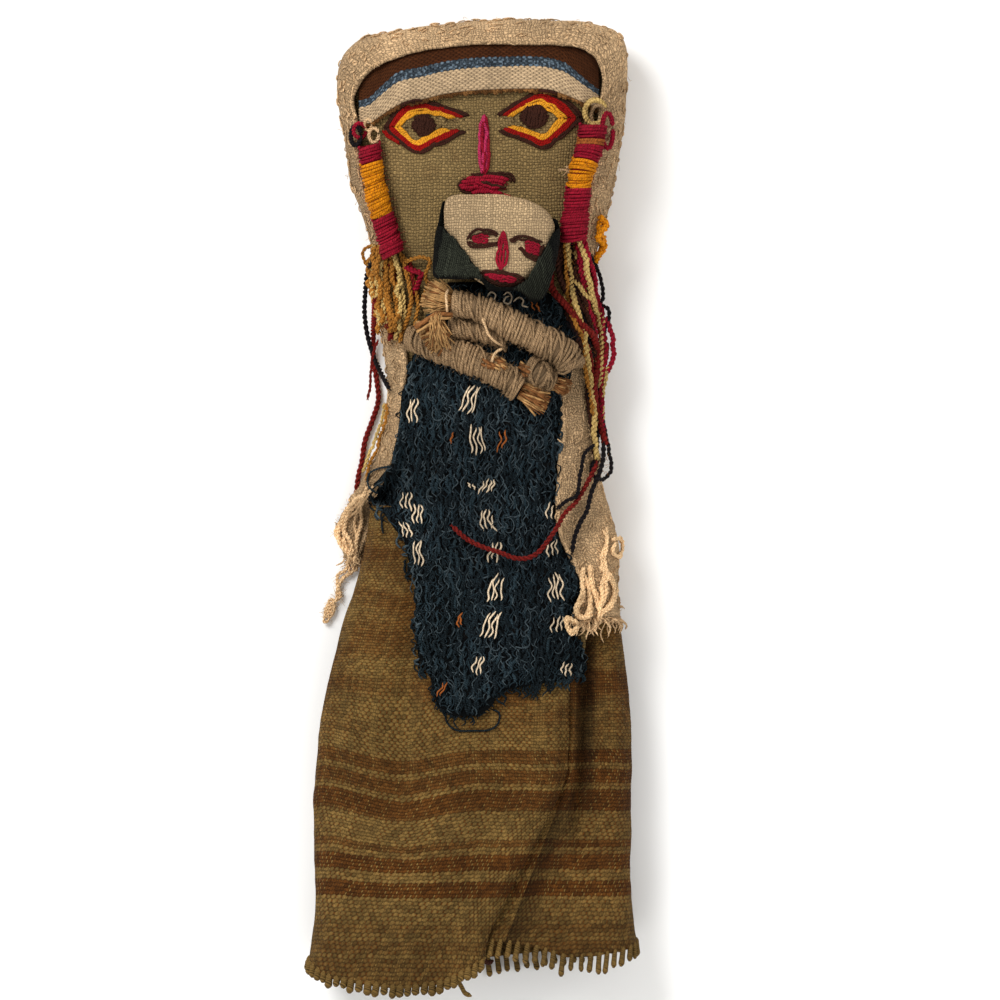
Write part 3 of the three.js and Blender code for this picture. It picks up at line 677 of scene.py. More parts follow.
class DollColours(bpy.types.PropertyGroup):
    gauze: colour_property("Gauze", "Cotton of the open headcloth", (0.7, 0.462, 0.25))
    face: colour_property("Face cloth", "Cloth over the head and chest", (0.262, 0.174, 0.069))
    child: colour_property("Child's cloth", "Cloth over the child's head", (0.48, 0.335, 0.186))
    skirt_light: colour_property("Skirt, light", "Warp and light weft of the skirt", (0.166, 0.098, 0.0275))
    skirt_dark: colour_property("Skirt, dark", "Dark weft bands of the skirt", (0.082, 0.029, 0.0049))
    band_cream: colour_property("Band, cream", "Lowest stripe of the headband", (0.49, 0.345, 0.203))
    band_blue: colour_property("Band, blue", "Middle stripe of the headband", (0.062, 0.084, 0.105))
    band_brown: colour_property("Band, brown", "Upper stripe of the headband", (0.055, 0.0165, 0.0045))
    indigo: colour_property("Indigo", "Curly yarn of the wrap", (0.0046, 0.0083, 0.0105))
    hood: colour_property("Hood", "Dark green cloth of the child's hood", (0.0036, 0.004, 0.0027))
    hemp: colour_property("Hemp", "Yarn wound round the arms", (0.33, 0.21, 0.11))
    reed: colour_property("Reed", "Split reed at the ends of the arms", (0.42, 0.235, 0.09))
    crimson: colour_property("Crimson", "Crimson yarn of the locks and mouths", (0.235, 0.0055, 0.018))
    madder: colour_property("Madder", "Brick red loose yarns and strands", (0.15, 0.01, 0.007))
    scarlet: colour_property("Scarlet", "Red rows round the eyes", (0.24, 0.004, 0.0025))
    orange: colour_property("Orange", "Orange yarn of the locks", (0.58, 0.2, 0.004))
    yellow: colour_property("Yellow", "Yellow rows round the eyes", (0.62, 0.26, 0.015))
    straw: colour_property("Straw", "Pale strands of the tassels and a loop", (0.52, 0.35, 0.12))
    ochre: colour_property("Ochre", "Yellow strands of the tassels", (0.345, 0.142, 0.023))
    pink: colour_property("Pink", "Yarn of the nose", (0.41, 0.026, 0.086))
    brown: colour_property("Dark brown", "Outlines and pupils of the eyes", (0.036, 0.011, 0.006))
    rust: colour_property("Rust", "Rust marks of the wrap", (0.3, 0.085, 0.018))
    black: colour_property("Black", "Loose black yarn", (0.008, 0.006, 0.007))


class DollSizes(bpy.types.PropertyGroup):
    gauze_threads: size_property("Gauze threads", "Threads a millimetre in the headcloth", 1.05)
    face_threads: size_property("Face threads", "Threads a millimetre in the face cloth", 1.12)
    skirt_warps: size_property("Skirt warps", "Warps a millimetre in the skirt", 1.12)
    skirt_wefts: size_property("Skirt wefts", "Wefts a millimetre in the skirt", 1.0)
    arm_pitch: size_property("Arm winding", "Millimetres between turns on the arms", 1.05)
    lock_pitch: size_property("Lock winding", "Millimetres between turns on the locks", 0.95)


def colours():
    return bpy.context.scene.doll_colours


def sizes():
    return bpy.context.scene.doll_sizes


def gauze_shades(w, place, row):
    """The headcloth is darker down its left side."""
    x, y, _ = w.separate(millimetres(w))
    darker_left = w.spread(x, -36.0, -28.0, 1.0, 0.0) * w.spread(y, 0.0, 12.0)
    return [w.dimmed(shade_of(colours().gauze, k), 1.0 - darker_left * 0.3) for k in (1.0, 0.92)]


def gauze_cloth():
    t = sizes().gauze_threads
    return cloth("Gauze", None, None, (t, 0.9 * t), 0.5, (0.16, 0.1), 1.0, bands=gauze_shades, dark=0.5,
                 contrast=0.2, soil=0.08)


def plain_yarn(key, **more):
    return yarn(key.capitalize() + " yarn", getattr(colours(), key), **more)


def plain_yarns(*keys):
    return [plain_yarn(key) for key in keys]


# The floor, the lights and the camera

FRAME_SIDE = 310 * MM  # what the square picture shows, at the doll's middle height
CAMERA_AWAY = 2.4
MIDDLE_HEIGHT = 0.02
FRAME_CENTRE = (0.0062, 0.0)
SENSOR = 36.0
FLOOR_DROP = 0.0003


def soft_light(name, place, size, power):
    bpy.ops.object.light_add(type="AREA", location=place)
    lamp = bpy.context.object
    lamp.name = name
    lamp.data.size = size
    lamp.data.energy = power
    lamp.visible_camera = False
    lamp.rotation_euler = (-Vector(place)).to_track_quat("-Z", "Y").to_euler()


class DOLL_OT_stage(bpy.types.Operator):
    """Makes the pale floor, the soft lights and the camera that looks straight down"""

    bl_idname = "doll.stage"
    bl_label = "Stage"

    def execute(self, context):
        bpy.ops.object.select_all(action="DESELECT")
        bpy.ops.mesh.primitive_plane_add(size=12, location=(0, 0, -FLOOR_DROP))
        floor = context.object
        floor.name = "Floor"
        made, w, shader = new_material("Pale floor", 0.9)
        mottle = w.noise(on_piece(w, "Object"), 0.7)
        w.feed(shader.inputs["Base Color"], w.mix(mottle, (0.90, 0.90, 0.89, 1), (0.93, 0.93, 0.92, 1)))
        floor.data.materials.append(made)
        soft_light("Key", (-0.75, 0.8, 1.15), 0.7, 22)
        soft_light("Fill", (1.0, -0.1, 1.3), 1.3, 8)
        soft_light("Foot", (-0.2, -1.1, 1.0), 1.0, 6)
        world = bpy.data.worlds.new("Studio")
        context.scene.world = world
        world.use_nodes = True
        world.node_tree.nodes["Background"].inputs["Color"].default_value = (1.0, 0.98, 0.95, 1)
        world.node_tree.nodes["Background"].inputs["Strength"].default_value = 0.55
        context.scene.view_settings.view_transform = "Standard"
        bpy.ops.object.camera_add(location=(*FRAME_CENTRE, MIDDLE_HEIGHT + CAMERA_AWAY), rotation=(0, 0, 0))
        camera = context.object
        camera.data.sensor_width = SENSOR
        camera.data.lens = SENSOR * CAMERA_AWAY / FRAME_SIDE
        context.scene.camera = camera
        return {"FINISHED"}


# Four loose yarns

YARN_STEP = 0.35
# Each loose yarn: colour, radius, way
LOOSE_YARNS = {
    "red_yarn_right": ("madder", 0.8, [
        (36, 11, 26.4), (34.1, 7, 25.4), (29.6, -0.8, 28), (26.2, -4.2, 30.2), (23.6, -8.7, 32.4),
        (17.9, -16.2, 33.5), (14.5, -17.9, 33.9), (10.8, -17.9, 34), (6.3, -16.2, 34), (0.7, -14.4, 33.9),
        (-4.2, -11.9, 33.6), (-8.4, -8.2, 33.2)]),
    "black_yarn_right": ("black", 0.8, [
        (38.2, 17.5, 26.3), (38.1, 13, 26.7), (37, 8.6, 27.1), (34.5, 2.5, 26.2), (33, -3.5, 27.3),
        (31.1, -6.9, 28.4), (29.2, -11.7, 29.4), (28.5, -16.2, 30)]),
    "red_yarn_left": ("madder", 0.9, [
        (-32.6, 62, 22), (-33, 57, 12), (-33.4, 51, 3.4), (-33.4, 45, 1.4), (-32.3, 37.3, 1),
        (-31.8, 31.2, 1), (-33.6, 25, 1), (-36, 18.3, 1), (-37, 11.6, 1), (-38, 7.5, 1.2),
        (-38.8, 1.3, 1.4)]),
    "black_yarn_left": ("black", 0.8, [
        (-32, 75.5, 22.6), (-34.6, 72, 17), (-35.8, 64, 10), (-36, 58, 7), (-35.2, 51.8, 6), (-33.2, 45, 9),
        (-31, 40, 14.5), (-28.2, 34.6, 20.4)]),
}


def frayed_end(strands, end, way, radius):
    """A few short fibres at a broken end."""
    way = way / np.linalg.norm(way)
    for _ in range(4):
        aside = strands.chance.normal(0, 0.35, 3)
        aside[2] = abs(aside[2])
        tip = end + way * 0.9 + aside
        strands.tube(spline([end - way, end, tip], 0.4), radius * 0.22, 0, 4, taper=0.6)


class DOLL_OT_loose_yarns(bpy.types.Operator):
    """Makes the four long two-ply yarns that have come away from the tassels"""

    bl_idname = "doll.loose_yarns"
    bl_label = "Loose yarns"

    def execute(self, context):
        for seed, (node, (colour, radius, way)) in enumerate(LOOSE_YARNS.items()):
            path = spline(way, YARN_STEP)
            strands = Strands(seed)
            strands.plied(path, radius, 0, twist=3.4, sides=6, loose=0.5)
            for end, before in ((path[0], path[2]), (path[-1], path[-3])):
                frayed_end(strands, end, end - before, radius)
            made = strands.piece("loose_" + node, [plain_yarn(colour)], colour_slot(colour), [node])
        return {"FINISHED"}


def colour_slot(colour):
    return {"black": "black_yarn"}.get(colour, "crimson_yarn")


# The stuffed body

def slack(places, normals):
    """Soft hollows beside the nose and cheeks, and drag lines from the temples to the neck."""
    front = np.clip(normals[:, 2], 0, 1)
    broad = 0.55 * ripple(places, 17, 3)
    lines = places * (1, 0.28, 1)
    return front * (broad + 0.42 * ripple(lines, 7, 5) - 0.2) + 0.1 * ripple(places, 3, 8) - 0.25


class DOLL_OT_body(bpy.types.Operator):
    """Makes the stuffed head and trunk in plain cloth, with slack places in the cloth"""

    bl_idname = "doll.body"
    bl_label = "Stuffed body"

    def execute(self, context):
        body = soft_copy("stuffed_body", "padded_body", 2)
        push(body, slack)
        c = colours().face
        t = sizes().face_threads
        body.data.materials.append(cloth(
            "Face cloth", shade_of(c, 1.12), shade_of(c, 0.9), (t, t * 0.94), 0.36, (0.0, 0.15), 0.5,
            on_map=False, dark=0.52, contrast=0.16, ply=0.3))
        dressed(body, ["stuffed_body"])
        return {"FINISHED"}


# The gauze headcloth

# The cloth's front edge in plan, from its lower end on the left, over the brow, to the right
VEIL_EDGE = [
    (-37.8, -18.6), (-35.3, -11.5), (-33.4, -5.5), (-33.2, 1.9), (-30.4, 7), (-27, 12.5), (-25.4, 20.5),
    (-24.2, 33.2), (-23, 44.4), (-24.8, 49.6), (-29.5, 65.1), (-32.2, 79.7), (-33.2, 86.8), (-35.3, 93.9),
    (-37.8, 105.4), (-38.8, 117.8), (-39.6, 124.6), (-36.9, 129.8), (-32.2, 134.4), (-25.7, 137.2),
    (-19.8, 139.4), (-11.8, 140.4), (0.9, 141.4), (14, 141.2), (26.4, 141.2), (32.6, 139.7), (36.4, 136.4),
    (38.2, 131.1), (38.2, 125.4), (37.2, 117.8), (35.4, 104.5), (33.4, 89.3), (32, 80), (28.3, 52.7),
    (25.4, 40.3), (25.1, 18.6), (23.9, -1.6), (24.6, -10.9), (28.4, -18.9), (31.4, -28.5), (28.6, -36.2),
]
# The cloth's outer line in plan, the same way round
VEIL_OUTLINE = [
    (-37.2, -19.6), (-40.3, -19), (-42.8, -16.1), (-44.3, -13.3), (-46, -11), (-46.2, -8.7), (-45, -5.6),
    (-41.5, -2.6), (-38, 1.6), (-36.6, 6.2), (-34, 10.8), (-31.4, 18.6), (-29.6, 30), (-28.7, 37),
    (-29.9, 44), (-30.8, 50), (-32.2, 60), (-33.4, 76), (-34.7, 80.6), (-37.5, 89.9), (-40.6, 99.2),
    (-41.5, 103.8), (-42.8, 113.2), (-44.6, 122.5), (-45, 129), (-44.6, 134), (-43.4, 138), (-41.2, 141.2),
    (-39, 142.9), (-35.3, 144.4), (-25.4, 146), (-16.1, 147.5), (-0.6, 149), (14, 149.6), (31.6, 149),
    (40, 147.4), (42.8, 146), (44.4, 144), (45.8, 141), (46.2, 138), (46.2, 128), (45.6, 117.8),
    (44.3, 108.5), (42.2, 99.2), (40.3, 89.9), (37.8, 80.6), (36.4, 76), (36, 60), (35.6, 45), (35.4, 30),
    (37, 15), (38.3, 6.8), (40.2, -1.2), (41.9, -9.3), (43, -14), (43.2, -29), (43.6, -40),
]
BROW = 112  # above this the cloth turns over the crown, and below it over the sides
ROLL, THREAD, FLUFF = range(3)  # finishes of the headcloth's edge
VEIL_WALL = 1.3
VEIL_COLUMNS = 430
VEIL_ROWS = 60
VEIL_CENTRE = 11.0  # height that each section turns round
VEIL_SHORTEST = 8  # a section's points are at least this far from there
# Strands that lie loose on and below the lower corners: how many side by side, and their way with its lift
LOOSE_HANKS = [
    (3, [(-40, -15.5), (-41.4, -18.8), (-40.8, -21.8), (-42.8, -24.4), (-44, -28.4), (-44.4, -31),
         (-46.6, -32.9), (-48.8, -35.4), (-47.8, -36.8), (-45.8, -34.6), (-45.4, -32.4)]),
    (2, [(-34.4, 3.5), (-37, -1.5), (-38.6, -7), (-38, -13), (-37.6, -18.6)]),
    (2, [(-35.8, 2), (-39.4, -3), (-41.8, -8), (-41, -13.6), (-39.4, -18)]),
    (2, [(-37.8, 0.6), (-42.4, -4.4), (-44.6, -8.6), (-43.6, -12.6), (-41, -16.4), (-38.8, -19.6)]),
    (3, [(33.8, -20), (35, -26), (36.2, -32), (36.8, -36.6), (35, -39.8), (32.6, -39), (32.4, -36, 0.8),
         (34, -31, 1), (33.2, -25)]),
    (3, [(31.4, -21), (32, -26), (31.2, -30.4), (30, -33.6), (31.2, -36, 0.8), (33.8, -35.4, 1),
         (34.4, -29)]),
    (3, [(29.8, -38.2), (27.2, -36.6), (27, -39.4), (29, -40.6, 0.6), (30.6, -38.6, 0.8)]),
    (2, [(41, -12), (43, -12.6), (44.2, -15), (43, -17.4), (41.2, -16, 0.8), (42.2, -13.6, 1)]),
    (3, [(37.6, -20), (40, -24), (41.6, -29), (40, -33.4), (37.6, -34.6), (38.6, -30, 0.8), (38, -24)]),
    (2, [(38.6, -8), (39.6, -13), (38, -18), (39, -24), (37.4, -28)]),
]


def veil_pivot(x, y):
    """The place in plan that the headcloth turns round, inside its edge."""
    if y > BROW:
        return np.array([min(22.0, max(-21.0, x)), BROW])
    side = math.copysign(1, x - 1)
    lower = 6 * min(1, (-5 - y) / 10) if y < -5 and side < 0 else 0
    return np.array([x - side * 18, y - lower])


def veil_reach(pivot, way):
    """How far the outer line is from a place inside it, in that direction."""
    start = np.array(VEIL_OUTLINE) - pivot
    step = np.diff(start, axis=0)
    start = start[:-1]
    turn = way[0] * step[:, 1] - way[1] * step[:, 0]
    turn = np.where(np.abs(turn) < 1e-9, 1e-9, turn)
    share = (way[1] * start[:, 0] - way[0] * start[:, 1]) / turn
    away = (start[:, 0] * step[:, 1] - start[:, 1] * step[:, 0]) / turn
    found = away[(share >= 0) & (share <= 1) & (away > 0)]
    return found.max() if len(found) else None


def veil_section(tree, x, y):
    """The cloth's way from its front edge round the outside to the middle of the back."""
    pivot = veil_pivot(x, y)
    reach = np.array([x, y]) - pivot
    span = np.linalg.norm(reach)
    way = reach / span
    top = height([tree], x + way[0] * 0.5, y + way[1] * 0.5, 28)
    first = math.atan2(top - VEIL_CENTRE, span)
    found = []
    centre = Vector((*pivot, VEIL_CENTRE))
    for angle in np.linspace(first, -math.pi / 2, 40):
        ahead = Vector((way[0] * math.cos(angle), way[1] * math.cos(angle), math.sin(angle)))
        hit = tree.ray_cast(centre + ahead * 90, -ahead)[0]
        if hit is not None and (hit - centre).dot(ahead) > VEIL_SHORTEST:
            found.append(tuple(hit))
    edge = (x, y, found[0][2] if found else top)
    back = (1 + 0.15 * x, min(y, BROW - 14), found[-1][2])
    outer = np.array(found[1:])
    limit = veil_reach(pivot, way)
    away = (outer[:, :2] - pivot) @ way
    if limit is not None and away.max() > span:
        grown = (max(limit, span + 0.8) - span) / (away.max() - span)
        outer[:, :2] += np.outer(np.clip(away - span, 0, None) * (grown - 1), way)
    return evenly(np.vstack([edge, outer, back]), VEIL_ROWS)


def veil_folds(grid):
    """Soft folds and drag lines, and the frayed wing on the left that swells over the skirt."""
    normal = outward(grid)
    if normal[VEIL_ROWS // 3, 40, 0] > 0:
        normal = -normal
    drop = grid * (1, 0.3, 1)
    low = np.clip((70 - grid[..., 1]) / 60, 0, 1)
    side = np.clip(grid[..., 2] / 6, 0, 1)
    amount = 0.45 * ripple(grid, 11, 1) + (0.35 + 0.9 * low) * ripple(drop, 6, 2)
    amount += 0.22 * ripple(grid * (1, 1, 0.6), 2.4, 3)
    wing = np.clip((4 - grid[..., 1]) / 5, 0, 1) * np.clip((-30 - grid[..., 0]) / 3, 0, 1)
    across = np.clip((-33 - grid[..., 0]) / 13, 0, 1)
    amount += wing * (3.4 * np.sin(across * math.pi) ** 0.7 + 1.1 * ripple(grid * (1, 0.3, 1), 2.6, 7))
    return at_least(grid + normal * (side * (amount - 0.25))[..., None], VEIL_WALL + 0.1)


def rolled_edge(trim, grid):
    """The edge is turned under, so it stands up as an uneven roll."""
    path = grid[0].copy()
    path[:, 2] -= 0.5
    away = grid[6] - grid[0]
    path += away / np.linalg.norm(away, axis=1, keepdims=True) * 0.7
    size = 1.0 + 0.3 * ripple(path, 3.5, 4) + 0.16 * ripple(path, 1.1, 6)
    path += 0.3 * np.stack([ripple(path, 2.2, n) + 1.2 * ripple(path, 8, n) for n in (7, 8, 9)], -1)
    trim.tube(path, size, ROLL, 8, girth=6.5)
    trim.plied(path + (0, 0, 0.75), 0.42, THREAD, 2.4, 4, 0.6)


def frayed_corners(trim, grid, below):
    """Loose curly ends of gauze yarn at the lower corners, some of them thick loops."""
    chance = trim.chance
    tufts = [
        (grid[:34, 0], (-0.3, -0.5), 90, (1.5, 4), 0.9, 0.34),
        (grid[:30, -1], (-0.1, -1), 110, (1.5, 5), 0.9, 0.3),
        (grid[20:36, -5], (0.5, -0.2), 60, (1, 3), 0.9, 0.2),
        (grid[12:40, 6], (-0.6, -0.2), 60, (1, 3), 0.9, 0.2),
    ]
    for line, way, count, reach, curl, radius in tufts:
        for _ in range(count):
            start = line[chance.integers(len(line))]
            length = chance.uniform(*reach)
            turn = chance.uniform(0, FULL_TURN)
            s = np.linspace(0, 1, max(8, int(length * 2)))
            away = np.array([*way, 0]) + chance.normal(0, 0.45, 3)
            path = start + s[:, None] * length * away
            wave = curl * (0.4 + 0.6 * s)
            path[:, 0] += wave * np.sin(s * length * 1.5 + turn)
            path[:, 2] += wave * np.cos(s * length * 1.3 + turn) - 0.3 * length * s
            trim.tube(at_least(path, 0.6), radius * chance.uniform(0.6, 1.2), THREAD, 4, taper=1.2)
    for count, way in LOOSE_HANKS:
        left = way[0][0] < 0
        for k in range(count):
            apart = chance.normal(0, 0.8 if left else 0.45, (len(way), 2))
            plan = [(x + a, y + b, *lift) for (x, y, *lift), (a, b) in zip(way, apart)]
            path = laid(plan, below, 0.6, 0.3 * k, 0.5, 8)
            path += 0.4 * np.stack([ripple(path + 40 * k, 2.0, n) for n in (3, 4, 5)], -1)
            if left:
                path[:, 2] = np.minimum(path[:, 2], np.minimum.accumulate(path[:, 2]) + 1.5)
            at_least(path, 1.3 if left else 15)
            trim.plied(path, chance.uniform(0.5, 0.85), FLUFF, 2.6, 5, 0.5)
            if left:
                trim.fuzz(path, 0.8, 50, 1.5, FLUFF)


def stray_threads(trim, grid):
    """Threads of the weave that stand up and bend, and short stray fibres."""
    chance = trim.chance
    rows, columns = grid.shape[:2]
    for _ in range(1350):
        i = int(chance.integers(0, rows // 2))
        j = int(chance.integers(3, columns - 3))
        way = grid[i, min(j + 2, columns - 1)] - grid[i, j - 2]
        way /= max(0.1, np.linalg.norm(way))
        down = grid[i + 2, j] - grid[i, j]
        down /= max(0.1, np.linalg.norm(down))
        above = np.cross(way, down)
        above *= math.copysign(1, above[2])
        lean = chance.normal(0, 0.8)
        way = (way + lean * down) / math.hypot(1, lean)
        s = np.linspace(-0.5, 0.5, 6)[:, None]
        bend = chance.normal(0, 0.5)
        long = chance.uniform(1.4, 3.6)
        rise = 0.3 * (1 - 4 * s * s) + 0.1
        path = grid[i, j] + above * rise + way * s * long + down * bend * (s * s * 4 - 1)
        trim.tube(path, chance.uniform(0.18, 0.34), THREAD, 3, taper=0.5)
    for _ in range(260):
        start = grid[chance.integers(0, rows * 2 // 3), chance.integers(0, columns)]
        away = chance.normal(0, 0.7, (2, 3))
        away[:, 2] = np.abs(away[:, 2]) * 0.6
        trim.tube(spline([start, start + away[0] + (0, 0, 0.3), start + away[0] + away[1]], 0.5),
                  FIBRE, THREAD, 3)


class DOLL_OT_headcloth(bpy.types.Operator):
    """Makes the open cream gauze over the crown and back, with its rolled edge and loose ends"""

    bl_idname = "doll.headcloth"
    bl_label = "Headcloth"

    def execute(self, context):
        tree = solid("headcloth")[0]
        edge = evenly(spline(VEIL_EDGE, 0.6), VEIL_COLUMNS)
        grid = np.stack([veil_section(tree, x, y) for x, y in edge], axis=1)
        grid = veil_folds(softened(grid, 5))
        veil = Strands(11)
        veil.sheet(grid)
        veil = veil.piece("gauze_headcloth", [gauze_cloth()], "gauze", ["headcloth"], wall=VEIL_WALL)
        below = [search_tree(veil.data), *solid("skirt", "indigo_wrap")]
        trim = Strands(12)
        rolled_edge(trim, grid)
        frayed_corners(trim, grid, below)
        stray_threads(trim, grid)
        gauze = colours().gauze
        thread = plain_yarn("gauze", light=shade_of(gauze, 1.25), depth=0.2)
        fluff = yarn("Loose gauze yarn", shade_of(gauze, 1.15), light=shade_of(gauze, 1.5))
        trim = trim.piece("headcloth_edge", [gauze_cloth(), thread, fluff], "gauze")
        return {"FINISHED"}


# The striped headband

BAND_EDGE = [(-36.9, 116.7), (-33.8, 116.9), (-30.7, 119), (-24.2, 122.8), (-18, 124), (-11.8, 125.5),
             (-5.3, 126.5), (4, 127.1), (19.8, 127.1), (26.4, 125.5), (32.6, 122.8), (36.4, 121.2)]
BAND_CREAM = 6.1  # height of the lowest stripe
BAND_BLUE = 2.9
BAND_ROWS = 1.7  # rows of beads a millimetre
# The band's upper edge, and how far its stripes are squeezed, at places across
BAND_TOP = [(-38, 131), (-35, 134), (-29, 137.5), (-20, 140.4), (0, 142), (26, 142), (33, 140), (37, 135)]
BAND_SQUEEZE = [(-37, 0.72), (-26, 1), (26, 1), (36, 0.6)]


def band_colours(w, place, row):
    """Cream, a mottled blue and brown, from the lowest stripe up."""
    c = colours()
    level = row / BAND_ROWS
    bead = w.combine(w.separate(place)[0] * 0.9, row * 0.8)
    lit = w.spread(w.noise(bead, 1.3, 1.0), 0.48, 0.62)
    blue = level > BAND_CREAM
    brown = level > BAND_CREAM + BAND_BLUE
    blues = w.mix(lit, shade_of(c.band_blue, 0.45), shade_of(c.band_blue, 1.8))
    stripes = w.mix(brown, w.mix(blue, shade_of(c.band_cream), blues), shade_of(c.band_brown))
    return stripes, stripes


class DOLL_OT_headband(bpy.types.Operator):
    """Makes the striped band across the forehead, with its small brown fringe"""

    bl_idname = "doll.headband"
    bl_label = "Headband"

    def execute(self, context):
        face = surface_of("padded_body")
        edge = evenly(spline(BAND_EDGE, 0.6), 200)
        rows = np.linspace(0, 1, 34)
        grid = np.zeros((len(rows), len(edge), 3))
        place = np.zeros((len(rows), len(edge), 2))
        for j, (x, y) in enumerate(edge):
            top = np.interp(x, *zip(*BAND_TOP))
            squeeze = np.interp(x, *zip(*BAND_SQUEEZE))
            for i, share in enumerate(rows):
                level = y + (top - y) * share
                grid[i, j] = (x, level, height(face, x, level, 24) + 1.5)
            place[:, j, 0] = lengths(edge)[j]
            place[:, j, 1] = rows * (top - y) / squeeze
        lip = np.clip(rows * 12, 0, 1)[:, None]
        grid[..., 2] += 0.5 * np.sin(lip * math.pi / 2) + 0.18 * ripple(grid * (1, 0.4, 1), 5, 12)
        grid = softened(grid, 2)
        band = Strands(21)
        band.sheet(grid[::-1], 0, place[::-1])
        woven = cloth("Band cloth", None, None, (1.1, BAND_ROWS), 0.3, (0.9, 0.0), 0.12,
                      bands=band_colours, dark=0.42, contrast=0.2, soil=0.08, ply=0.1, weave=beaded_weave)
        made = band.piece("striped_headband", [woven], "band_cloth", ["headband"], wall=1.0)
        fringe = Strands(22)
        for start in grid[0][2::4]:
            wide, drop = fringe.chance.uniform((0.4, 1.4), (0.8, 2.1))
            turn = np.linspace(-0.5, math.pi + 0.5, 9) + fringe.chance.normal(0, 0.3)
            loop = np.c_[wide * np.cos(turn), 0.5 - drop * np.sin(turn), 0.6 - 0.3 * np.sin(turn)]
            fringe.tube(start + loop - (0, 0, 0.12), 0.62, int(fringe.chance.uniform() < 0.4), 5)
        brown = yarn("Fringe brown", (0.11, 0.045, 0.012))
        trim = fringe.piece("headband_fringe", [brown, yarn("Fringe tan", (0.22, 0.10, 0.03))], "band_cloth")
        return {"FINISHED"}


# The skirt

# Places on the skirt's outer edge, from the hem up: its distance from the middle, and height on the doll
SKIRT_EDGE = [(-2.2, -160), (-1.2, -147), (0.9, -137.6), (4.7, -130.5), (9, -121.5), (14.5, -111),
              (20.2, -101), (25, -91), (27.4, -85), (28, -63), (28.6, 0)]
SKIRT_TOP = -1.6
SKIRT_LOWEST_ROUND = -134  # every section down to here is whole
SKIRT_OVERLAP = 46  # how far the inner end goes on beneath the outer edge
SKIRT_WALL = 1.25
# Where the woven part ends: from the outer edge to the left, and from the right to beneath the edge
HEM_LEFT = [(-54, -142.6), (-49.6, -145), (-43.4, -148), (-29.8, -150), (-20.8, -150.9), (-12, -150),
            (-6.2, -148.6), (-1.5, -145.4), (2, -142.6)]
HEM_RIGHT = [(-10, -136), (7.7, -136.4), (18.6, -138.2), (27.9, -141.4), (37.2, -141), (46.5, -139.2),
             (51, -137)]
HEM_BACK = -143
FRINGE_LEFT = 2.9
FRINGE_RIGHT = 5.6
# Two thick ends at the corner of the overlap: way, radius, finish
LOOSE_ENDS = [([(-7, -148, 31), (-5.6, -150.4, 30.6), (-4.6, -152.2, 30), (-2.6, -153.2, 29.4)], 0.75, 0),
              ([(0.5, -141, 28), (2.4, -143, 27), (4.2, -142.4, 26)], 0.8, 1)]
SKIRT_COLUMNS = 256
SKIRT_ROWS = 132
# Dark weft bands: distance below the top of the skirt, half width, strength
SKIRT_BANDS = [(77.1, 1.7, 0.8), (83.4, 2.0, 0.85), (90.6, 2.6, 0.95), (104.2, 0.7, 0.75), (109.6, 2.2, 1.0),
               (117.8, 2.0, 1.0), (130.4, 1.2, 0.3), (136, 1.8, 0.4), (142, 1.8, 0.4), (147, 1.6, 0.4)]
# The rows are closer at the top: this many against the set count, and how much fewer each millimetre down
ROWS_AT_TOP = 1.28
ROWS_LESS = 0.0019


def skirt_colours(w, place, row):
    """Dark weft bands, warps that show as pale dots between the beads, painted shade in the deep pleat and
    beside the slanting edge, and cloth darker towards the hem.
    """
    c = colours()
    root = w.math("SQRT", ROWS_AT_TOP ** 2 - row * (4 * ROWS_LESS / sizes().skirt_wefts))
    level = (ROWS_AT_TOP - root) / (2 * ROWS_LESS)
    dark = 0.0
    for centre, half, strength in SKIRT_BANDS:
        dark = dark + w.spread(w.math("ABSOLUTE", level - centre), half, half + 0.9, strength, 0.0)
    upper = w.spread(level, 78.0, 60.0, 0.0, 0.75)
    streaks = w.noise(w.vector("MULTIPLY", place, (0.7, 2.4, 1)), 0.035, 3.0)
    wrapped = w.spread(w.separate(place)[0], 165.0, 190.0, 0.0, 0.2)
    dark = w.math("ADD", dark + wrapped, upper * w.spread(streaks, 0.4, 0.62), clamp=True)
    weft = w.mix(dark, shade_of(c.skirt_light), shade_of(c.skirt_dark))
    pale = w.spread(w.noise(w.vector("MULTIPLY", place, (0.55, 0.03, 1)), 1.0, 1.0), 0.46, 0.6)
    warp = w.mix(pale, shade_of(c.skirt_dark, 1.7), shade_of(c.skirt_light, 1.5))
    x, y, _ = w.separate(millimetres(w))
    # Painted shade in the deep pleat on the right, and a painted shadow to the right of the slanting outer
    # edge.
    fold = w.spread(w.math("ABSOLUTE", x - 33.0), 1.0, 4.2, 1.0, 0.0) * w.spread(y, -108.0, -84.0)
    past = x - (y * 0.395 + 61.0)
    hidden = w.spread(past, 0.6, 11.0, 1.0, 0.0) * (past > 0.6) * w.spread(y, -100.0, -84.0, 1.0, 0.0)
    painted_shade_and_hem = 1.0 - w.math("MAXIMUM", fold, hidden) * 0.58
    # Then the cloth is dimmed a little towards the hem.
    painted_shade_and_hem = painted_shade_and_hem * w.spread(level, 118.0, 130.0, 1.0, 0.8)
    return w.dimmed(warp, painted_shade_and_hem), w.dimmed(weft, painted_shade_and_hem)


def skirt_section(tree, y):
    """Places round the skirt at one height, from its outer edge over the left and back to the edge again."""
    centre = Vector((-1.5, y, 14))
    across, along = zip(*SKIRT_EDGE)
    edge_x = np.interp(y, along, across)
    top = height([tree], edge_x - 0.6, y, 30)
    first = math.atan2(top - centre.z, edge_x - centre.x)
    found = []
    for angle in np.linspace(first, first + FULL_TURN, 150)[:-1]:
        ahead = Vector((math.cos(angle), 0, math.sin(angle)))
        hit = tree.ray_cast(centre + ahead * 120, -ahead)[0]
        if hit is None:
            return None
        found.append(tuple(hit))
    return np.array(found)


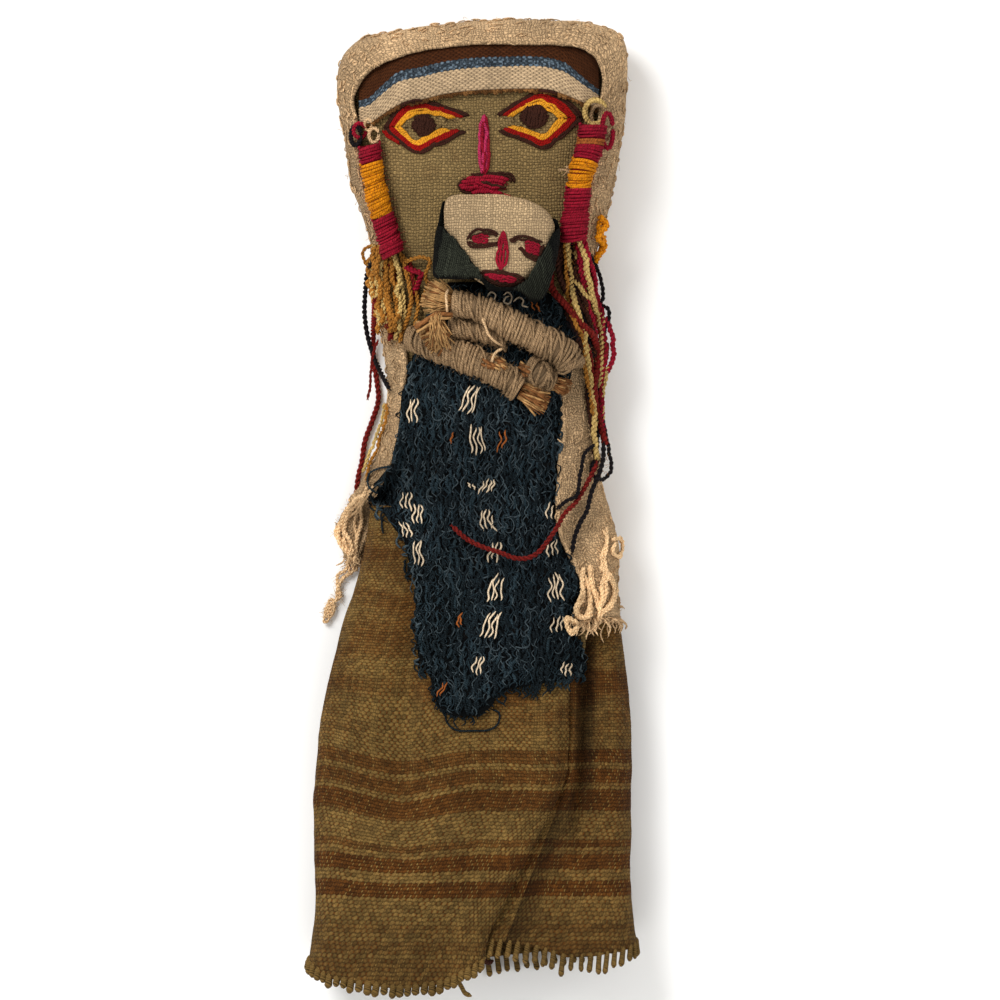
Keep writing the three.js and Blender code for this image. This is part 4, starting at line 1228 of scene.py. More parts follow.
def cut_skirt(outer, heights):
    """Carries the cloth on beneath its outer edge and ends each column at the hem."""
    step = np.linalg.norm(np.diff(outer[len(outer) // 2], axis=0), axis=1).mean()
    extra = int(SKIRT_OVERLAP / step)
    around = np.concatenate([outer, outer[:, :extra]], axis=1)
    count = around.shape[1]
    started = np.arange(count) >= outer.shape[1]
    beneath = np.clip((np.arange(count) - outer.shape[1] + 34) / 30, 0, 1)
    deep = (3 * beneath**2 - 2 * beneath**3) * 4.0
    inward = (np.array([-1.5, 0, 14]) - around) * (1, 0, 1)
    inward /= np.linalg.norm(inward, axis=-1, keepdims=True)
    around = around + inward * np.where(started, deep, 0)[None, :, None]
    foot = around[-17]
    left = int(np.argmin(foot[:outer.shape[1], 0]))
    right = int(np.argmax(foot[:, 0] * ~started))
    levels = [HEM_LEFT[0][1], HEM_BACK, HEM_RIGHT[-1][1]]
    hem = np.interp(np.arange(count), [left, (left + right) / 2, right], levels)
    hem[:left] = np.interp(foot[:left, 0], *zip(*HEM_LEFT))
    hem[right:] = np.interp(foot[right:, 0], *zip(*HEM_RIGHT))
    columns = []
    for j in range(count):
        at = np.linspace(heights[0], hem[j], SKIRT_ROWS)
        line = np.stack([np.interp(-at, -heights, around[:, j, k]) for k in range(3)], axis=1)
        line[:, 1] = at
        columns.append(line)
    return np.stack([evenly(row, SKIRT_COLUMNS) for row in np.stack(columns, axis=1)])


def skirt_folds(grid):
    """Adds the deep pleat on the right, the soft folds and the standing outer edge."""
    grid = softened(grid, 3)
    normal = outward(grid)
    if normal[SKIRT_ROWS // 2, SKIRT_COLUMNS // 8, 2] < 0:
        normal = -normal
    x, y, z = np.moveaxis(grid, -1, 0)
    share = np.broadcast_to(np.linspace(0, 1, grid.shape[1]), x.shape)
    front = np.clip((z - 12) / 8, 0, 1)
    down = -y

    def crease(middle, width, deep, *fades):
        """A soft fold along a line: its depth times the given fades along the doll."""
        return deep * np.exp(-((x - middle) / width) ** 2) * np.interp(down, *fades)

    pleat = np.interp(down, [40, 75, 105], [33.8, 33.2, 31])
    beside = np.interp(down, [40, 75, 100], [28.6, 28.4, 26])
    folds = crease(pleat, 2.6, -5.6, [30, 42, 92, 116], [0.4, 1, 0.9, 0])
    folds += crease(42, 3.2, 1.3, [30, 50, 95, 120], [0, 1, 0.8, 0])
    folds += crease(beside, 1.9, 1.3, [40, 60, 90, 105], [0, 1, 0.8, 0])
    folds += crease(np.interp(down, [60, 90], [28.2, 24]), 1.6, -1.8, [48, 64, 84, 96], [0, 1, 0.8, 0])
    folds += crease(-21 - 0.09 * (down - 35), 4.4, -3.0, [20, 38, 72, 98], [0.2, 1, 0.8, 0])
    folds += crease(-35 - 0.05 * (down - 40), 6.5, 1.1, [30, 55, 80, 105], [0.2, 1, 0.8, 0])
    folds += crease(-8, 9, 0.8, [60, 80, 110, 135], [0, 1, 0.8, 0.2])
    folds += crease(-46 + 0.35 * (down - 75), 2.2, -0.6, [72, 78, 90, 98], [0, 1, 1, 0])
    folds += crease(-43 + 0.5 * (down - 75), 2.0, 0.5, [72, 78, 92, 100], [0, 1, 1, 0])
    first = np.clip(1 - share / 0.07, 0, 1)
    lifted = 5.2 * np.sin(np.clip(share / 0.03, 0, 1) * math.pi / 2) * first
    lifted = lifted * np.interp(down, [0, 60, 90, 110], [0, 0.4, 0.8, 1])
    lower = np.clip((down - 120) / 30, 0, 1)
    waves = (0.4 + 0.8 * lower) * ripple(grid * (1, 0.22, 1), 10, 4) + 0.4 * ripple(grid, 16, 6)
    waves += 0.16 * ripple(grid, 3.2, 9)
    gathers = 0.5 * np.interp(down, [0, 30], [1, 0]) * np.sin(share * 190)
    amount = front * (folds + lifted) + waves * np.clip(z / 5, 0, 1) + gathers - 0.3
    amount = np.where(share > 0.84, np.minimum(amount, 0.1), amount)
    return at_least(grid + normal * amount[..., None], 0.0)


def skirt_places(grid):
    """Texture places: millimetres along the hem, and rows down the cloth from its top."""
    middle = lengths(grid[SKIRT_ROWS * 2 // 3])
    down = SKIRT_TOP - grid[..., 1]
    x = grid[..., 0]
    front = np.clip((grid[..., 2] - 12) / 8, 0, 1)
    dip = 3.4 * np.exp(-((x + 24) / 13) ** 2) - 1.4 * np.clip(-(x + 38) / 10, 0, 1)
    down = down - front * dip * np.interp(down, [55, 72, 95, 112, 125], [0, 1, 1, 0.35, 0])
    down += 0.5 * ripple(grid * (1, 0.3, 1), 12, 21)
    rows = ROWS_AT_TOP * down - ROWS_LESS * down ** 2
    return np.stack([np.broadcast_to(middle, down.shape), rows], -1)


def skirt_fringe(trim, grid):
    """Warps that run on past the hem, in pairs."""
    chance = trim.chance
    hem = grid[-1]
    above = grid[-4]
    total = lengths(hem)
    x, _, z = hem.T
    right = int(np.argmax(np.where(np.arange(len(x)) > len(x) // 3, x, -99)))
    at = 0.9
    while at < total[-1] - 0.8:
        j = int(np.searchsorted(total, at))
        outer = j < right and z[j] > 3
        length = FRINGE_LEFT if outer else FRINGE_RIGHT
        start = read_at(hem, total, at)
        back = read_at(above, total, at)
        way = (start - back) / np.linalg.norm(start - back) * (0.35, 1, 0.6)
        length *= chance.uniform(0.8, 1.15) * (0.75 if x[j] > 45 else 1)
        swing = chance.normal(0, 0.22, 3)
        path = np.array([start - way * 1.6 + (0, 0, -0.6), start + way * 0.4 + (0, 0, -0.5),
                         start + way * length * 0.6 + swing * 0.3, start + way * length + swing])
        size = chance.uniform(1.05, 1.25) if outer else chance.uniform(0.72, 0.92)
        path = spline(at_least(path, 1.6), 0.5)
        bulge = 1 + 0.16 * np.clip(np.linspace(-1, 1, len(path)), 0, 1)
        trim.tube(path, size * bulge, 0, 7, taper=0.9)
        at += chance.uniform(2.3, 2.8) if outer else chance.uniform(2.6, 3.1)
    for line, radius, finish in LOOSE_ENDS:
        trim.tube(spline(line, 0.4), radius, finish, 6, taper=1.0)


class DOLL_OT_skirt(bpy.types.Operator):
    """Makes the wound skirt, its slanting outer edge, its pleats and its fringe"""

    bl_idname = "doll.skirt"
    bl_label = "Skirt"

    def execute(self, context):
        tree = solid("skirt")[0]
        levels = np.linspace(SKIRT_TOP - 0.2, SKIRT_LOWEST_ROUND, 74)
        rounds = [skirt_section(tree, y) for y in levels]
        body = np.stack([r for r in rounds if r is not None])
        kept = np.array([y for y, r in zip(levels, rounds) if r is not None])
        outer = softened(np.stack([evenly(r, 360) for r in body]), 4)
        slope = (outer[-1] - outer[-8]) / (kept[-1] - kept[-8]) * 0.45
        steps = np.linspace(-1.5, -24, 16)
        outer = np.concatenate([outer, [outer[-1] + slope * step for step in steps]])
        grid = skirt_folds(cut_skirt(outer, np.r_[kept, kept[-1] + steps]))
        skirt = Strands(31)
        skirt.sheet(grid, 0, skirt_places(grid))
        c = colours()
        woven = cloth("Skirt cloth", None, None, (sizes().skirt_warps, sizes().skirt_wefts), 0.6, (0.0, 0.0),
                      0.2, bands=skirt_colours, dark=0.2, contrast=0.38, soil=0.15, ply=0.12,
                      weave=beaded_weave)
        made = skirt.piece("wound_skirt", [woven], "skirt_cloth", ["skirt"], wall=SKIRT_WALL)
        trim = Strands(32)
        skirt_fringe(trim, grid)
        light = yarn("Skirt yarn", shade_of(c.skirt_light, 0.8), dark=shade_of(c.skirt_light, 0.25))
        trim = trim.piece("skirt_fringe", [light, plain_yarn("brown")], "skirt_cloth")
        return {"FINISHED"}


# Stitched faces

BROWN, RED, YELLOW = 0, 1, 2
EYE_ROWS = (BROWN, BROWN, RED, RED, RED, YELLOW, YELLOW, YELLOW)
# Each half of an eye runs between its outer and its inner line
LEFT_EYE = [
    ([(-29.5, 115), (-24.5, 121.9), (-20.5, 123.2), (-15.9, 122.7), (-10.5, 121.4), (-3.2, 118.7)],
     [(-25.0, 115.5), (-21.4, 118.7), (-18.0, 119.8), (-14.9, 119.3), (-12.4, 118.9), (-9.1, 118.0)]),
    ([(-29.5, 115), (-24.1, 110.3), (-19.6, 107.2), (-14.5, 109.1), (-9.5, 111.1), (-4.3, 114.1)],
     [(-25.0, 115.5), (-22.1, 112.7), (-19.9, 110.7), (-17.4, 111.5), (-13.7, 113.7), (-10.9, 114.6)]),
]
RIGHT_EYE = [
    ([(5.5, 118.9), (9.5, 121.4), (14.1, 124.4), (19.3, 126.4), (24.6, 124.8), (28.6, 122.1), (31.8, 118.2)],
     [(9.6, 118.4), (11.9, 120.0), (14.2, 121.3), (18.0, 122.5), (20.2, 121.3), (22.5, 119.7),
      (25.0, 118.0)]),
    ([(5.9, 114.1), (9.5, 112.6), (14.1, 110.9), (19.5, 108.6), (26.4, 113.2), (31.8, 118.2)],
     [(9.9, 115.5), (12.1, 115.0), (14.6, 114.5), (19.8, 112.5), (22.1, 114.9), (25.0, 118.0)]),
]


def stitched(strands, first, last, finishes, trees, radius, stitch=5.0, lift=0.0):
    """Rows of flat stitches from one line to another, one finish for each row."""
    first = evenly(spline(first), 12)
    last = evenly(spline(last), 12)
    for share, finish in zip(np.linspace(0, 1, len(finishes)), finishes):
        line = first * (1 - share) + last * share + strands.chance.normal(0, 0.16, (12, 2))
        path = laid(line, trees, radius, lift - 0.3 * radius, step=0.4, passes=3)
        along = lengths(path)
        count = max(1, round(along[-1] / stitch))
        edges = np.linspace(0, along[-1], count + 1)
        edges[1:-1] += strands.chance.normal(0, 0.12 * stitch, count - 1)
        for low, high in zip(edges, edges[1:]):
            at = np.linspace(max(0, low - 0.5), min(along[-1], high + 0.5), max(5, int((high - low) / 0.45)))
            piece = read_at(path, along, at)
            end = np.minimum(at - at[0], at[-1] - at)
            piece[:, 2] -= 0.9 * radius * np.exp(-end / (0.8 * radius))
            strands.tube(piece, radius * strands.chance.uniform(0.88, 1.08), finish, 6, taper=1.6 * radius)


def matted(strands, centre, half, angle, trees, radius, finish):
    """An oval filled with two layers of stitches that cross."""
    for layer in (0, 1):
        turn = angle + layer * 0.9
        way = np.array([math.cos(turn), math.sin(turn)])
        aside = np.array([-way[1], way[0]])
        rows = int(2 * min(half) / (1.5 * radius))
        for share in np.linspace(-0.86, 0.86, rows):
            reach = math.sqrt(1 - share * share)
            oval = np.array(half) * (1 - 0.12 * layer)
            first, last = [np.array(centre) + oval * (share * aside + end * reach * way) for end in (-1, 1)]
            line = [first, (first + last) / 2 + strands.chance.normal(0, 0.15, 2), last]
            stitched(strands, line, line, [finish], trees, radius, 30, 0.5 * radius * layer)


class DOLL_OT_face(bpy.types.Operator):
    """Stitches the eyes, nose and mouth in coloured wool"""

    bl_idname = "doll.face"
    bl_label = "Stitched face"

    def execute(self, context):
        face = surface_of("padded_body", "striped_headband")
        wools = plain_yarns("brown", "scarlet", "yellow")
        for side, halves, pupil, size in (
            ("left", LEFT_EYE, (-17.3, 115.7), (3.7, 3.5)),
            ("right", RIGHT_EYE, (16.8, 118.6), (4.4, 4.1)),
        ):
            eye = Strands(41)
            for outer, inner in halves:
                stitched(eye, outer, inner, EYE_ROWS, face, 0.5, 4.5)
                eye.hairs(outer, 44, 1.7, BROWN, face)
            matted(eye, pupil, size, 0.5, face, 0.5, BROWN)
            if side == "left":
                stitched(eye, [(-30, 114.2), (-27.4, 111.6), (-24.6, 110)],
                         [(-29.6, 114.6), (-27, 112), (-24.2, 110.4)], [RED, RED], face, 0.5)
            eye.piece(side + "_eye_stitches", wools, "dark_brown_yarn", ["eye_" + side])
        nose = Strands(43)
        stitched(nose, [(1.3, 118.9), (0.2, 114), (0, 108), (0.3, 103), (0.8, 100.6)],
                 [(1.6, 119), (2.4, 114), (2.7, 108), (2.6, 103), (1.4, 100.6)],
                 [0, 1, 0, 1], face, 0.55, 40, 0.2)
        stitched(nose, [(1.4, 118), (0.6, 112), (1.5, 106), (1.1, 101)],
                 [(1.5, 118), (2, 112), (1, 106), (1.3, 101)], [1, 0], face, 0.55, 40, 0.75)
        nose.piece("nose_stitches", plain_yarns("pink", "crimson"), "pink_yarn", ["nose"])
        mouth = Strands(44)
        for k, (left, right, level) in enumerate([(-4.6, 9.2, 99.5), (-5.8, 8.2, 98.6), (-6.6, 7.4, 97.7),
                                                  (-6, 8, 96.8), (-4.6, 5.6, 96), (-2.6, 6.8, 95.2)]):
            middle = ((left + right) / 2, level + 0.4 - 0.3 * (k % 2))
            line = [(left, level - 0.4), middle, (right, level - 0.5)]
            stitched(mouth, line, line, [1], face, 0.68, 8, 0.25 * (k % 2))
        stitched(mouth, [(-2, 98.6), (2, 97), (6.4, 96.4)], [(0, 98.8), (4, 97.4), (8, 96.6)],
                 [1, 0], face, 0.5, 9, 0.7)
        stitched(mouth, [(7.4, 94.4), (9, 93.6), (10.9, 92.9)], [(7.9, 93.8), (9.2, 93.2), (10.9, 92.5)],
                 [1, 1], surface_of("padded_body"), 0.45, 9, 2.6)
        stitched(mouth, [(-3, 100.6), (2, 100.9), (6, 101), (9.9, 100.2), (10.6, 98.2)],
                 [(-2, 99.9), (2, 100.2), (6, 100.3), (9.3, 99.6), (9.6, 98.2)], [0, 0], face, 0.46, 6)
        stitched(mouth, [(-4.5, 99.6), (-6.9, 97.8), (-5.6, 95.8), (-1, 94.8), (4, 94.5)],
                 [(-4.5, 99), (-6.3, 97.7), (-5, 96.3), (-1, 95.5), (4, 95.1)], [0, 0], face, 0.42, 6)
        mouth.hairs([(-5, 98.5, 31), (9, 98, 31)], 60, 1.6, 1, face)
        mouth.piece("mouth_stitches", plain_yarns("brown", "crimson"), "crimson_yarn", ["mouth"])
        return {"FINISHED"}


# The child

# Each feature: piece, solid, slot, wools, and its rows of stitches as first line, last line, a wool for
# each row, radius, stitch and lift
CHILD_STITCHES = [
    ("child_left_eye", "child_eye_left", "dark_brown_yarn", ("brown", "crimson", "child"), [
        ([(-3.9, 79.8), (-2.6, 82), (-0.4, 83), (2.3, 83), (5.8, 81.5)],
         [(-2.9, 79.9), (-1.6, 81.3), (0, 81.8), (2, 81.9), (5.4, 80.9)], [0, 0], 0.44),
        ([(-3.7, 79.6), (-2.9, 77.9), (0.9, 77.6), (5.8, 78.4)],
         [(-2.9, 79.6), (-2.1, 78.6), (0.9, 78.4), (5.6, 79.2)], [0, 0], 0.44),
        ([(-2.6, 80.6), (0.2, 81.2), (2.9, 80.8)], [(-2.4, 79.4), (0.2, 79), (2.7, 79.2)],
         [1] * 4, 0.42, 8, 0.1),
        ([(2.6, 80.2), (5.9, 80.3)], [(2.6, 80), (5.9, 80.1)], [2], 0.26, 6, 0.3),
    ]),
    ("child_right_eye", "child_eye_right", "dark_brown_yarn", ("brown", "crimson", "child"), [
        ([(9, 79.9), (12.8, 80.9), (16.1, 80.5), (19.3, 78.9)],
         [(9.2, 79.5), (12.8, 80.1), (16, 79.7), (18.8, 78.3)], [0, 0], 0.42, 6),
        ([(11.8, 77.5), (14.6, 74.7), (18.2, 73.6), (19.4, 78.4)],
         [(12.4, 77.5), (15, 75.6), (17.6, 74.8), (18.6, 78)], [0] * 3, 0.42, 6),
        ([(13.6, 79), (16.4, 79), (18.6, 77.8)], [(13.9, 76.4), (16.2, 75.9), (18.2, 75.6)],
         [1] * 5, 0.42, 8, 0.1),
        ([(12.4, 78.8), (14, 76.9)], [(12.2, 78.4), (13.6, 76.7)], [2], 0.26, 6, 0.3),
    ]),
    ("child_nose_stitches", "child_nose", "crimson_yarn", ("crimson",), [
        ([(7, 82.4), (5.6, 77.5), (5.4, 74), (6.1, 70.5)], [(7.3, 82.4), (8.6, 77.5), (8.2, 74), (6.6, 70.5)],
         [0] * 4, 0.46, 30, 0.1),
    ]),
    ("child_mouth_stitches", "child_mouth", "crimson_yarn", ("brown", "crimson"), [
        ([(0.2, 70), (5.1, 70.3), (10.6, 69.3), (13.9, 67.9)],
         [(1, 69.6), (5.1, 69.6), (10.2, 68.6), (13.2, 67.7)], [0, 0], 0.44, 6),
        ([(0.3, 69.8), (2.3, 68), (6.5, 65.9), (10.6, 65.6), (13.9, 67.7)],
         [(1.3, 69.4), (3, 68.4), (6.8, 66.9), (10.2, 66.6), (12.9, 67.6)], [0] * 3, 0.44, 6),
        ([(1.4, 69.3), (6, 69), (11.8, 67.8)], [(2.6, 68.6), (6.4, 67.6), (11, 67)],
         [1] * 3, 0.44, 12, 0.15),
    ]),
]


def hood_threads(threads):
    """Slanting threads that stand up from the hood's weave."""
    hood = surface_of("draped_hood")
    for side, (x, y), way in ((-1, (-13.5, 93), (0.42, -1)), (1, (25, 84), (-0.5, -1))):
        for row in range(26):
            start = np.array([x, y]) + row * np.array([0.2 * side, -0.95])
            path = []
            for step in np.arange(0, 30, 0.6):
                p = start + np.array(way) / np.linalg.norm(way) * step * 0.9 - np.array([side * 4.5, 0])
                z = height(hood, *p, -1)
                if z > 30:
                    path.append((*(p + 0.25 * np.sin(step + row)), z + 0.1 + 0.12 * math.sin(step * 2.1)))
            if len(path) > 6:
                threads.tube(np.array(path), 0.3, 0, 4, taper=1.0)


def child_face():
    face = surface_of("child_padded_head")
    for seed, (name, node, slot, keys, rows) in enumerate(CHILD_STITCHES, 52):
        made = Strands(seed)
        for first, last, finishes, *sizes_of_row in rows:
            stitched(made, first, last, finishes, face, *sizes_of_row)
        made.piece(name, plain_yarns(*keys), slot, [node])


class DOLL_OT_child(bpy.types.Operator):
    """Makes the small padded head in pale cloth, its hood and its stitched face"""

    bl_idname = "doll.child"
    bl_label = "Child"

    def execute(self, context):
        c = colours()
        head = soft_copy("child_head", "child_padded_head", 3)
        push(head, lambda places, normals: 0.25 * ripple(places, 5, 4) + 0.12 * ripple(places, 2, 6))
        head.data.materials.append(cloth(
            "Child's cloth", shade_of(c.child, 1.1), shade_of(c.child, 0.92), (1.25, 1.2), 0.26, (0.05, 0.1),
            0.55, on_map=False, dark=0.55, contrast=0.22, soil=0.1))
        dressed(head, ["child_head"])
        hood = soft_copy("child_hood", "draped_hood", 2)
        push(hood, lambda places, normals: 0.3 * ripple(places * (1, 0.6, 1), 5, 9) - 0.1)
        for vertex in hood.data.vertices:
            x, y, _ = vertex.co / MM
            vertex.co.y -= 5.5 * MM * min(1, max(0, (y - 82) / 10)) * min(1, max(0, (x - 13) / 6))
        hood.data.materials.append(cloth(
            "Hood cloth", shade_of(c.hood, 1.2), shade_of(c.hood, 0.7), (1.0, 0.9), 0.6, (0.1, 0.1), 0.5,
            on_map=False, dark=0.3, contrast=0.5, soil=0.0))
        dressed(hood, ["child_hood"])
        threads = Strands(51)
        hood_threads(threads)
        wool = yarn("Hood yarn", shade_of(c.hood, 4), light=shade_of(c.hood, 13))
        threads = threads.piece("hood_threads", [wool], "green_cloth")
        child_face()
        return {"FINISHED"}


# The indigo wrap

# The wrap's left and right edges, from the top down: distance along the doll, left, right
WRAP_EDGES = [
    (67.3, -10.5, 17.4), (62, -13.6, 24.8), (52.7, -17.1, 31), (45.9, -21.4, 31.2), (38.8, -22.6, 26.4),
    (33.2, -24.2, 24.8), (20.5, -25.4, 24.8), (10.5, -27.3, 24.5), (5.3, -31.6, 23.9), (2.2, -35.3, 23.7),
    (-1.6, -32.2, 23.6), (-8.4, -27.4, 23.9), (-12.4, -24.2, 25.1), (-18.9, -22.6, 28.4),
    (-24.5, -20.8, 30.4), (-28.5, -20.6, 31.4), (-33.8, -20.5, 29.1), (-38.8, -20.5, 27.6),
    (-44, -20.3, 32), (-49.6, -19.5, 33.6), (-53.3, -16.4, 31.6), (-55.6, -15.8, 26), (-57.4, -15.4, 15),
    (-58.9, -15.2, 6.2), (-63.5, -13.6, 4.6), (-66.6, -8.4, 0),
]
# Cream marks: middle across, middle along, threads, length
CREAM_MARKS = [
    (-3.1, 31, 4, 9), (-21.1, 27.4, 3, 8), (-0.9, 18.6, 4, 9), (2.2, 4.3, 4, 4), (2.4, -6.2, 4, 6),
    (4.6, -16.1, 3, 6), (4.8, -27.3, 4, 8), (22.4, -14.9, 3, 5), (23.4, -27, 4, 9), (-22.8, -0.5, 3, 6),
    (-23, -9.3, 3, 5), (-19.2, -4.7, 3, 6), (-19.2, -16.4, 3, 8), (3.4, -38.8, 4, 8), (-0.6, -51.1, 3, 6),
    (22.4, -3.1, 3, 5), (24, -38.4, 3, 5), (27, -52, 3, 4), (-2.8, 4.7, 2, 2)]
# Cream yarn that curls at the neck
NECK_CURLS = [
    [(2.2, 62.8), (3.4, 64.2), (4.8, 63.4), (4.4, 61.6), (5.2, 60.2), (6.9, 60.8)],
    [(7.2, 63.2), (8.6, 64.2), (9.8, 62.8), (8.9, 60.6), (7.4, 61.2), (8, 62.6), (9.2, 63)],
    [(10.2, 61.2), (12, 62.6), (13.4, 61.6), (13, 60.2), (14.9, 59.6)]]
RUST_MARKS = [(7.1, 18.6, 2, 7), (-9, 18.6, 1, 4), (-6.2, -37.2, 2, 4), (-11.8, -58.3, 2, 5),
              (17.1, 59.8, 2, 3)]
# The wrap's lower edge, across and along, and two yarns that have come away from it
WRAP_FOOT = [(-16, -58), (-8, -65), (0, -66), (4, -60), (8, -57.6), (16, -57), (26, -55.5), (32, -52)]
SIDE_RING = [(-27.4, 10.4), (-31, 9.9), (-34.1, 8.4), (-34.9, 6.2), (-34.1, 3.7), (-31.6, 2)]
FOOT_LOOP = [(-10.8, -64.5), (-10.2, -68.5), (-7.6, -70.9), (-2, -71.2), (3.1, -70.9), (5.6, -69),
             (5.9, -65.7), (3.6, -64.6)]
WRAP_ROWS = 150
WRAP_COLUMNS = 60
WRAP_WARP_GAP = 1.28
WRAP_WEFT_GAP = 1.5
WRAP_FADED = -22  # above this more of the yarns are faded
INDIGO, TEAL, GREY, CREAM, RUST = range(5)  # finishes of the wrap's yarns


def wrap_edges(y):
    table = np.array(WRAP_EDGES)
    return [float(np.interp(-y, -table[:, 0], column)) for column in table.T[1:]]


def run(strands, ground, line, radius, finish, lift, sides=5):
    """A yarn along a line in plan, broken where it leaves the cloth."""
    part = []
    for k, (x, y) in enumerate(line):
        z = height(ground, x, y, -1)
        if z > 0:
            part.append((x, y, z + lift[k]))
        if (z <= 0 or k == len(line) - 1) and len(part) > 5:
            strands.tube(np.array(part), radius, finish, sides, taper=1.0)
        if z <= 0:
            part = []


def float_over(strands, ground, start, way, long, radius, finish, bend, sides):
    """A length of yarn that comes up out of the cloth, bends over it and goes down again."""
    chance = strands.chance
    count = max(6, int(long / (0.75 if radius > 0.3 else 0.6)))
    s = np.linspace(0, 1, count)
    aside = np.array([way[1], -way[0]])
    turn = chance.uniform(0, FULL_TURN)
    bent = bend * np.sin(s * long * chance.uniform(0.9, 2.0) + turn)
    line = start + np.outer(s * long, way) + np.outer(bent, aside)
    flat = np.c_[line, np.zeros(count)]
    line[:, 0] += 1.5 * ripple(flat, 12, 3)
    lift = chance.uniform(0.35, 0.95) * np.sin(s * math.pi) ** 0.6 - 0.15
    run(strands, ground, line, radius, finish, lift, sides)


def wrap_warps(strands, ground):
    """Thick soft yarns down the cloth, with thin overspun ones between and over them."""
    chance = strands.chance
    for x in np.arange(-36, 35, WRAP_WARP_GAP):
        for thin in (False, True, True):
            y = 68.0 - chance.uniform(0, 4)
            while y > -66:
                long = chance.uniform(3, 9) if thin else chance.uniform(2.4, 6.5)
                start = (x + chance.normal(0, 0.35) + 0.6 * thin, y)
                radius = chance.uniform(0.15, 0.22) if thin else chance.uniform(0.36, 0.58)
                faded, greyed = (INDIGO, TEAL) if y < WRAP_FADED else (TEAL, GREY)
                thick_finishes = [INDIGO, INDIGO, TEAL, faded, INDIGO]
                finish = int(chance.choice([TEAL, GREY, greyed, faded] if thin else thick_finishes))
                way = (chance.normal(0, 0.14), -1)
                bend, sides = (0.7, 3) if thin else (0.3, 4)
                float_over(strands, ground, start, way, long, radius, finish, bend, sides)
                y -= long + chance.uniform(-0.8, 1.0)


def wrap_wefts(strands, ground):
    """Thin yarns across the cloth."""
    chance = strands.chance
    for y in np.arange(67, -65, -WRAP_WEFT_GAP):
        x = -36.0 + chance.uniform(0, 5)
        while x < 34:
            long = chance.uniform(2, 6)
            start = (x, y + chance.normal(0, 0.4))
            finish = int(chance.choice([INDIGO, INDIGO, GREY, TEAL]))
            way = (1, chance.normal(0, 0.2))
            float_over(strands, ground, start, way, long, chance.uniform(0.17, 0.3), finish, 0.4, 3)
            x += long + chance.uniform(0.5, 5)


def wrap_marks(strands, ground):
    """Brocaded marks: a few threads side by side that bend together."""
    chance = strands.chance
    for table, finish in ((CREAM_MARKS, CREAM), (RUST_MARKS, RUST)):
        for x, y, count, long in table:
            phase, lean = chance.uniform(0, FULL_TURN), chance.normal(0.5, 1.0)
            for k in range(count):
                s = np.linspace(-0.5, 0.5, 26)
                own = long * chance.uniform(0.82, 1.08)
                apart = (k - (count - 1) / 2) * (1.2 - 0.35 * s)
                across = x + apart + lean * s + 0.38 * np.sin(s * long * 0.95 + phase)
                across += chance.normal(0, 0.15) + 0.2 * np.sin(s * 11 + 2.3 * k)
                line = np.stack([across, y + s * own + chance.normal(0, 0.35)], axis=1)
                run(strands, ground, line, chance.uniform(0.24, 0.32), finish, np.full(len(line), 1.15))


def wrap_snarls(strands, ground):
    """Overspun threads that curl up out of the cloth."""
    chance = strands.chance
    for k in range(150):
        y = chance.uniform(-62, 66)
        left, right = wrap_edges(y)
        x = chance.uniform(left + 1, right - 1)
        size = chance.uniform(0.5, 1.4)
        turn = chance.uniform(0, FULL_TURN) + np.linspace(0, chance.uniform(1.5, 4.5), 10)
        wide = np.linspace(1, chance.uniform(0.5, 2.2), 10)
        line = np.stack([x + size * np.cos(turn) * wide, y + 1.3 * size * np.sin(turn) * wide], axis=1)
        lift = 0.8 + 0.5 * np.sin(np.linspace(0, math.pi, 10))
        run(strands, ground, line, chance.uniform(0.13, 0.2), GREY if k % 4 else TEAL, lift, 3)
    for way in NECK_CURLS:
        line = spline(way, 0.4)
        run(strands, ground, line[:, :2], 0.27, CREAM, np.full(len(line), 1.2))


def wrap_foot(strands):
    """Ends of yarn below the wrap's lower edge and along its sides, and two that have come away."""
    chance = strands.chance
    skirt = surface_of("wound_skirt", "gauze_headcloth")
    for _ in range(150):
        at = chance.uniform(0, 1)
        x = np.interp(at, [0, 0.3, 0.42, 1], [-15, -8, 4, 32])
        y = np.interp(x, *zip(*WRAP_FOOT))
        y += chance.uniform(0, 4)
        long = chance.uniform(2.5, 6.5)
        s = np.linspace(0, 1, 12)
        bend = chance.normal(0, 1.3)
        plan = np.stack([x + bend * s + 0.7 * np.sin(s * 9 + at * 60), y - long * s], axis=1)
        path = laid(plan[::2], skirt, 0.3, 0.5, 0.6, 2)
        path[:, 2] += 1.2 * (1 - np.linspace(0, 1, len(path)))
        strands.tube(path, chance.uniform(0.2, 0.4), TEAL if at > 0.8 else INDIGO, 4, taper=1.0)
    sides = surface_of("wound_skirt", "gauze_headcloth", "padded_body", "wrap_ground")
    for _ in range(220):
        y = chance.uniform(-54, 60)
        side = int(chance.integers(0, 2))
        x = wrap_edges(y)[side] + (1 - 2 * side) * chance.uniform(0.3, 2.4)
        long = chance.uniform(1.5, 4.5)
        s = np.linspace(0, 1, 9)
        bend = chance.normal(0, 1.2)
        out = (2 * side - 1) * chance.uniform(0.2, 1.6)
        across = x + out * np.sin(s * 3) + 0.4 * np.sin(s * 8 + bend)
        plan = np.stack([across, y - long * s + bend * s * s], axis=1)
        path = laid(plan[::2], sides, 0.25, 0.3, 0.6, 2)
        radius = chance.uniform(0.16, 0.42)
        strands.tube(path, radius, int(chance.choice([INDIGO, INDIGO, TEAL, GREY])), 4, taper=0.8)
    veil = surface_of("gauze_headcloth", "headcloth_edge")
    strands.plied(laid(SIDE_RING, veil, 0.5, 0.3), 0.45, TEAL, 2.2, 4, 0.5)
    strands.tube(laid(FOOT_LOOP, skirt, 0.35, 0.1, 0.6, 3), 0.32, INDIGO, 5, taper=1.0)


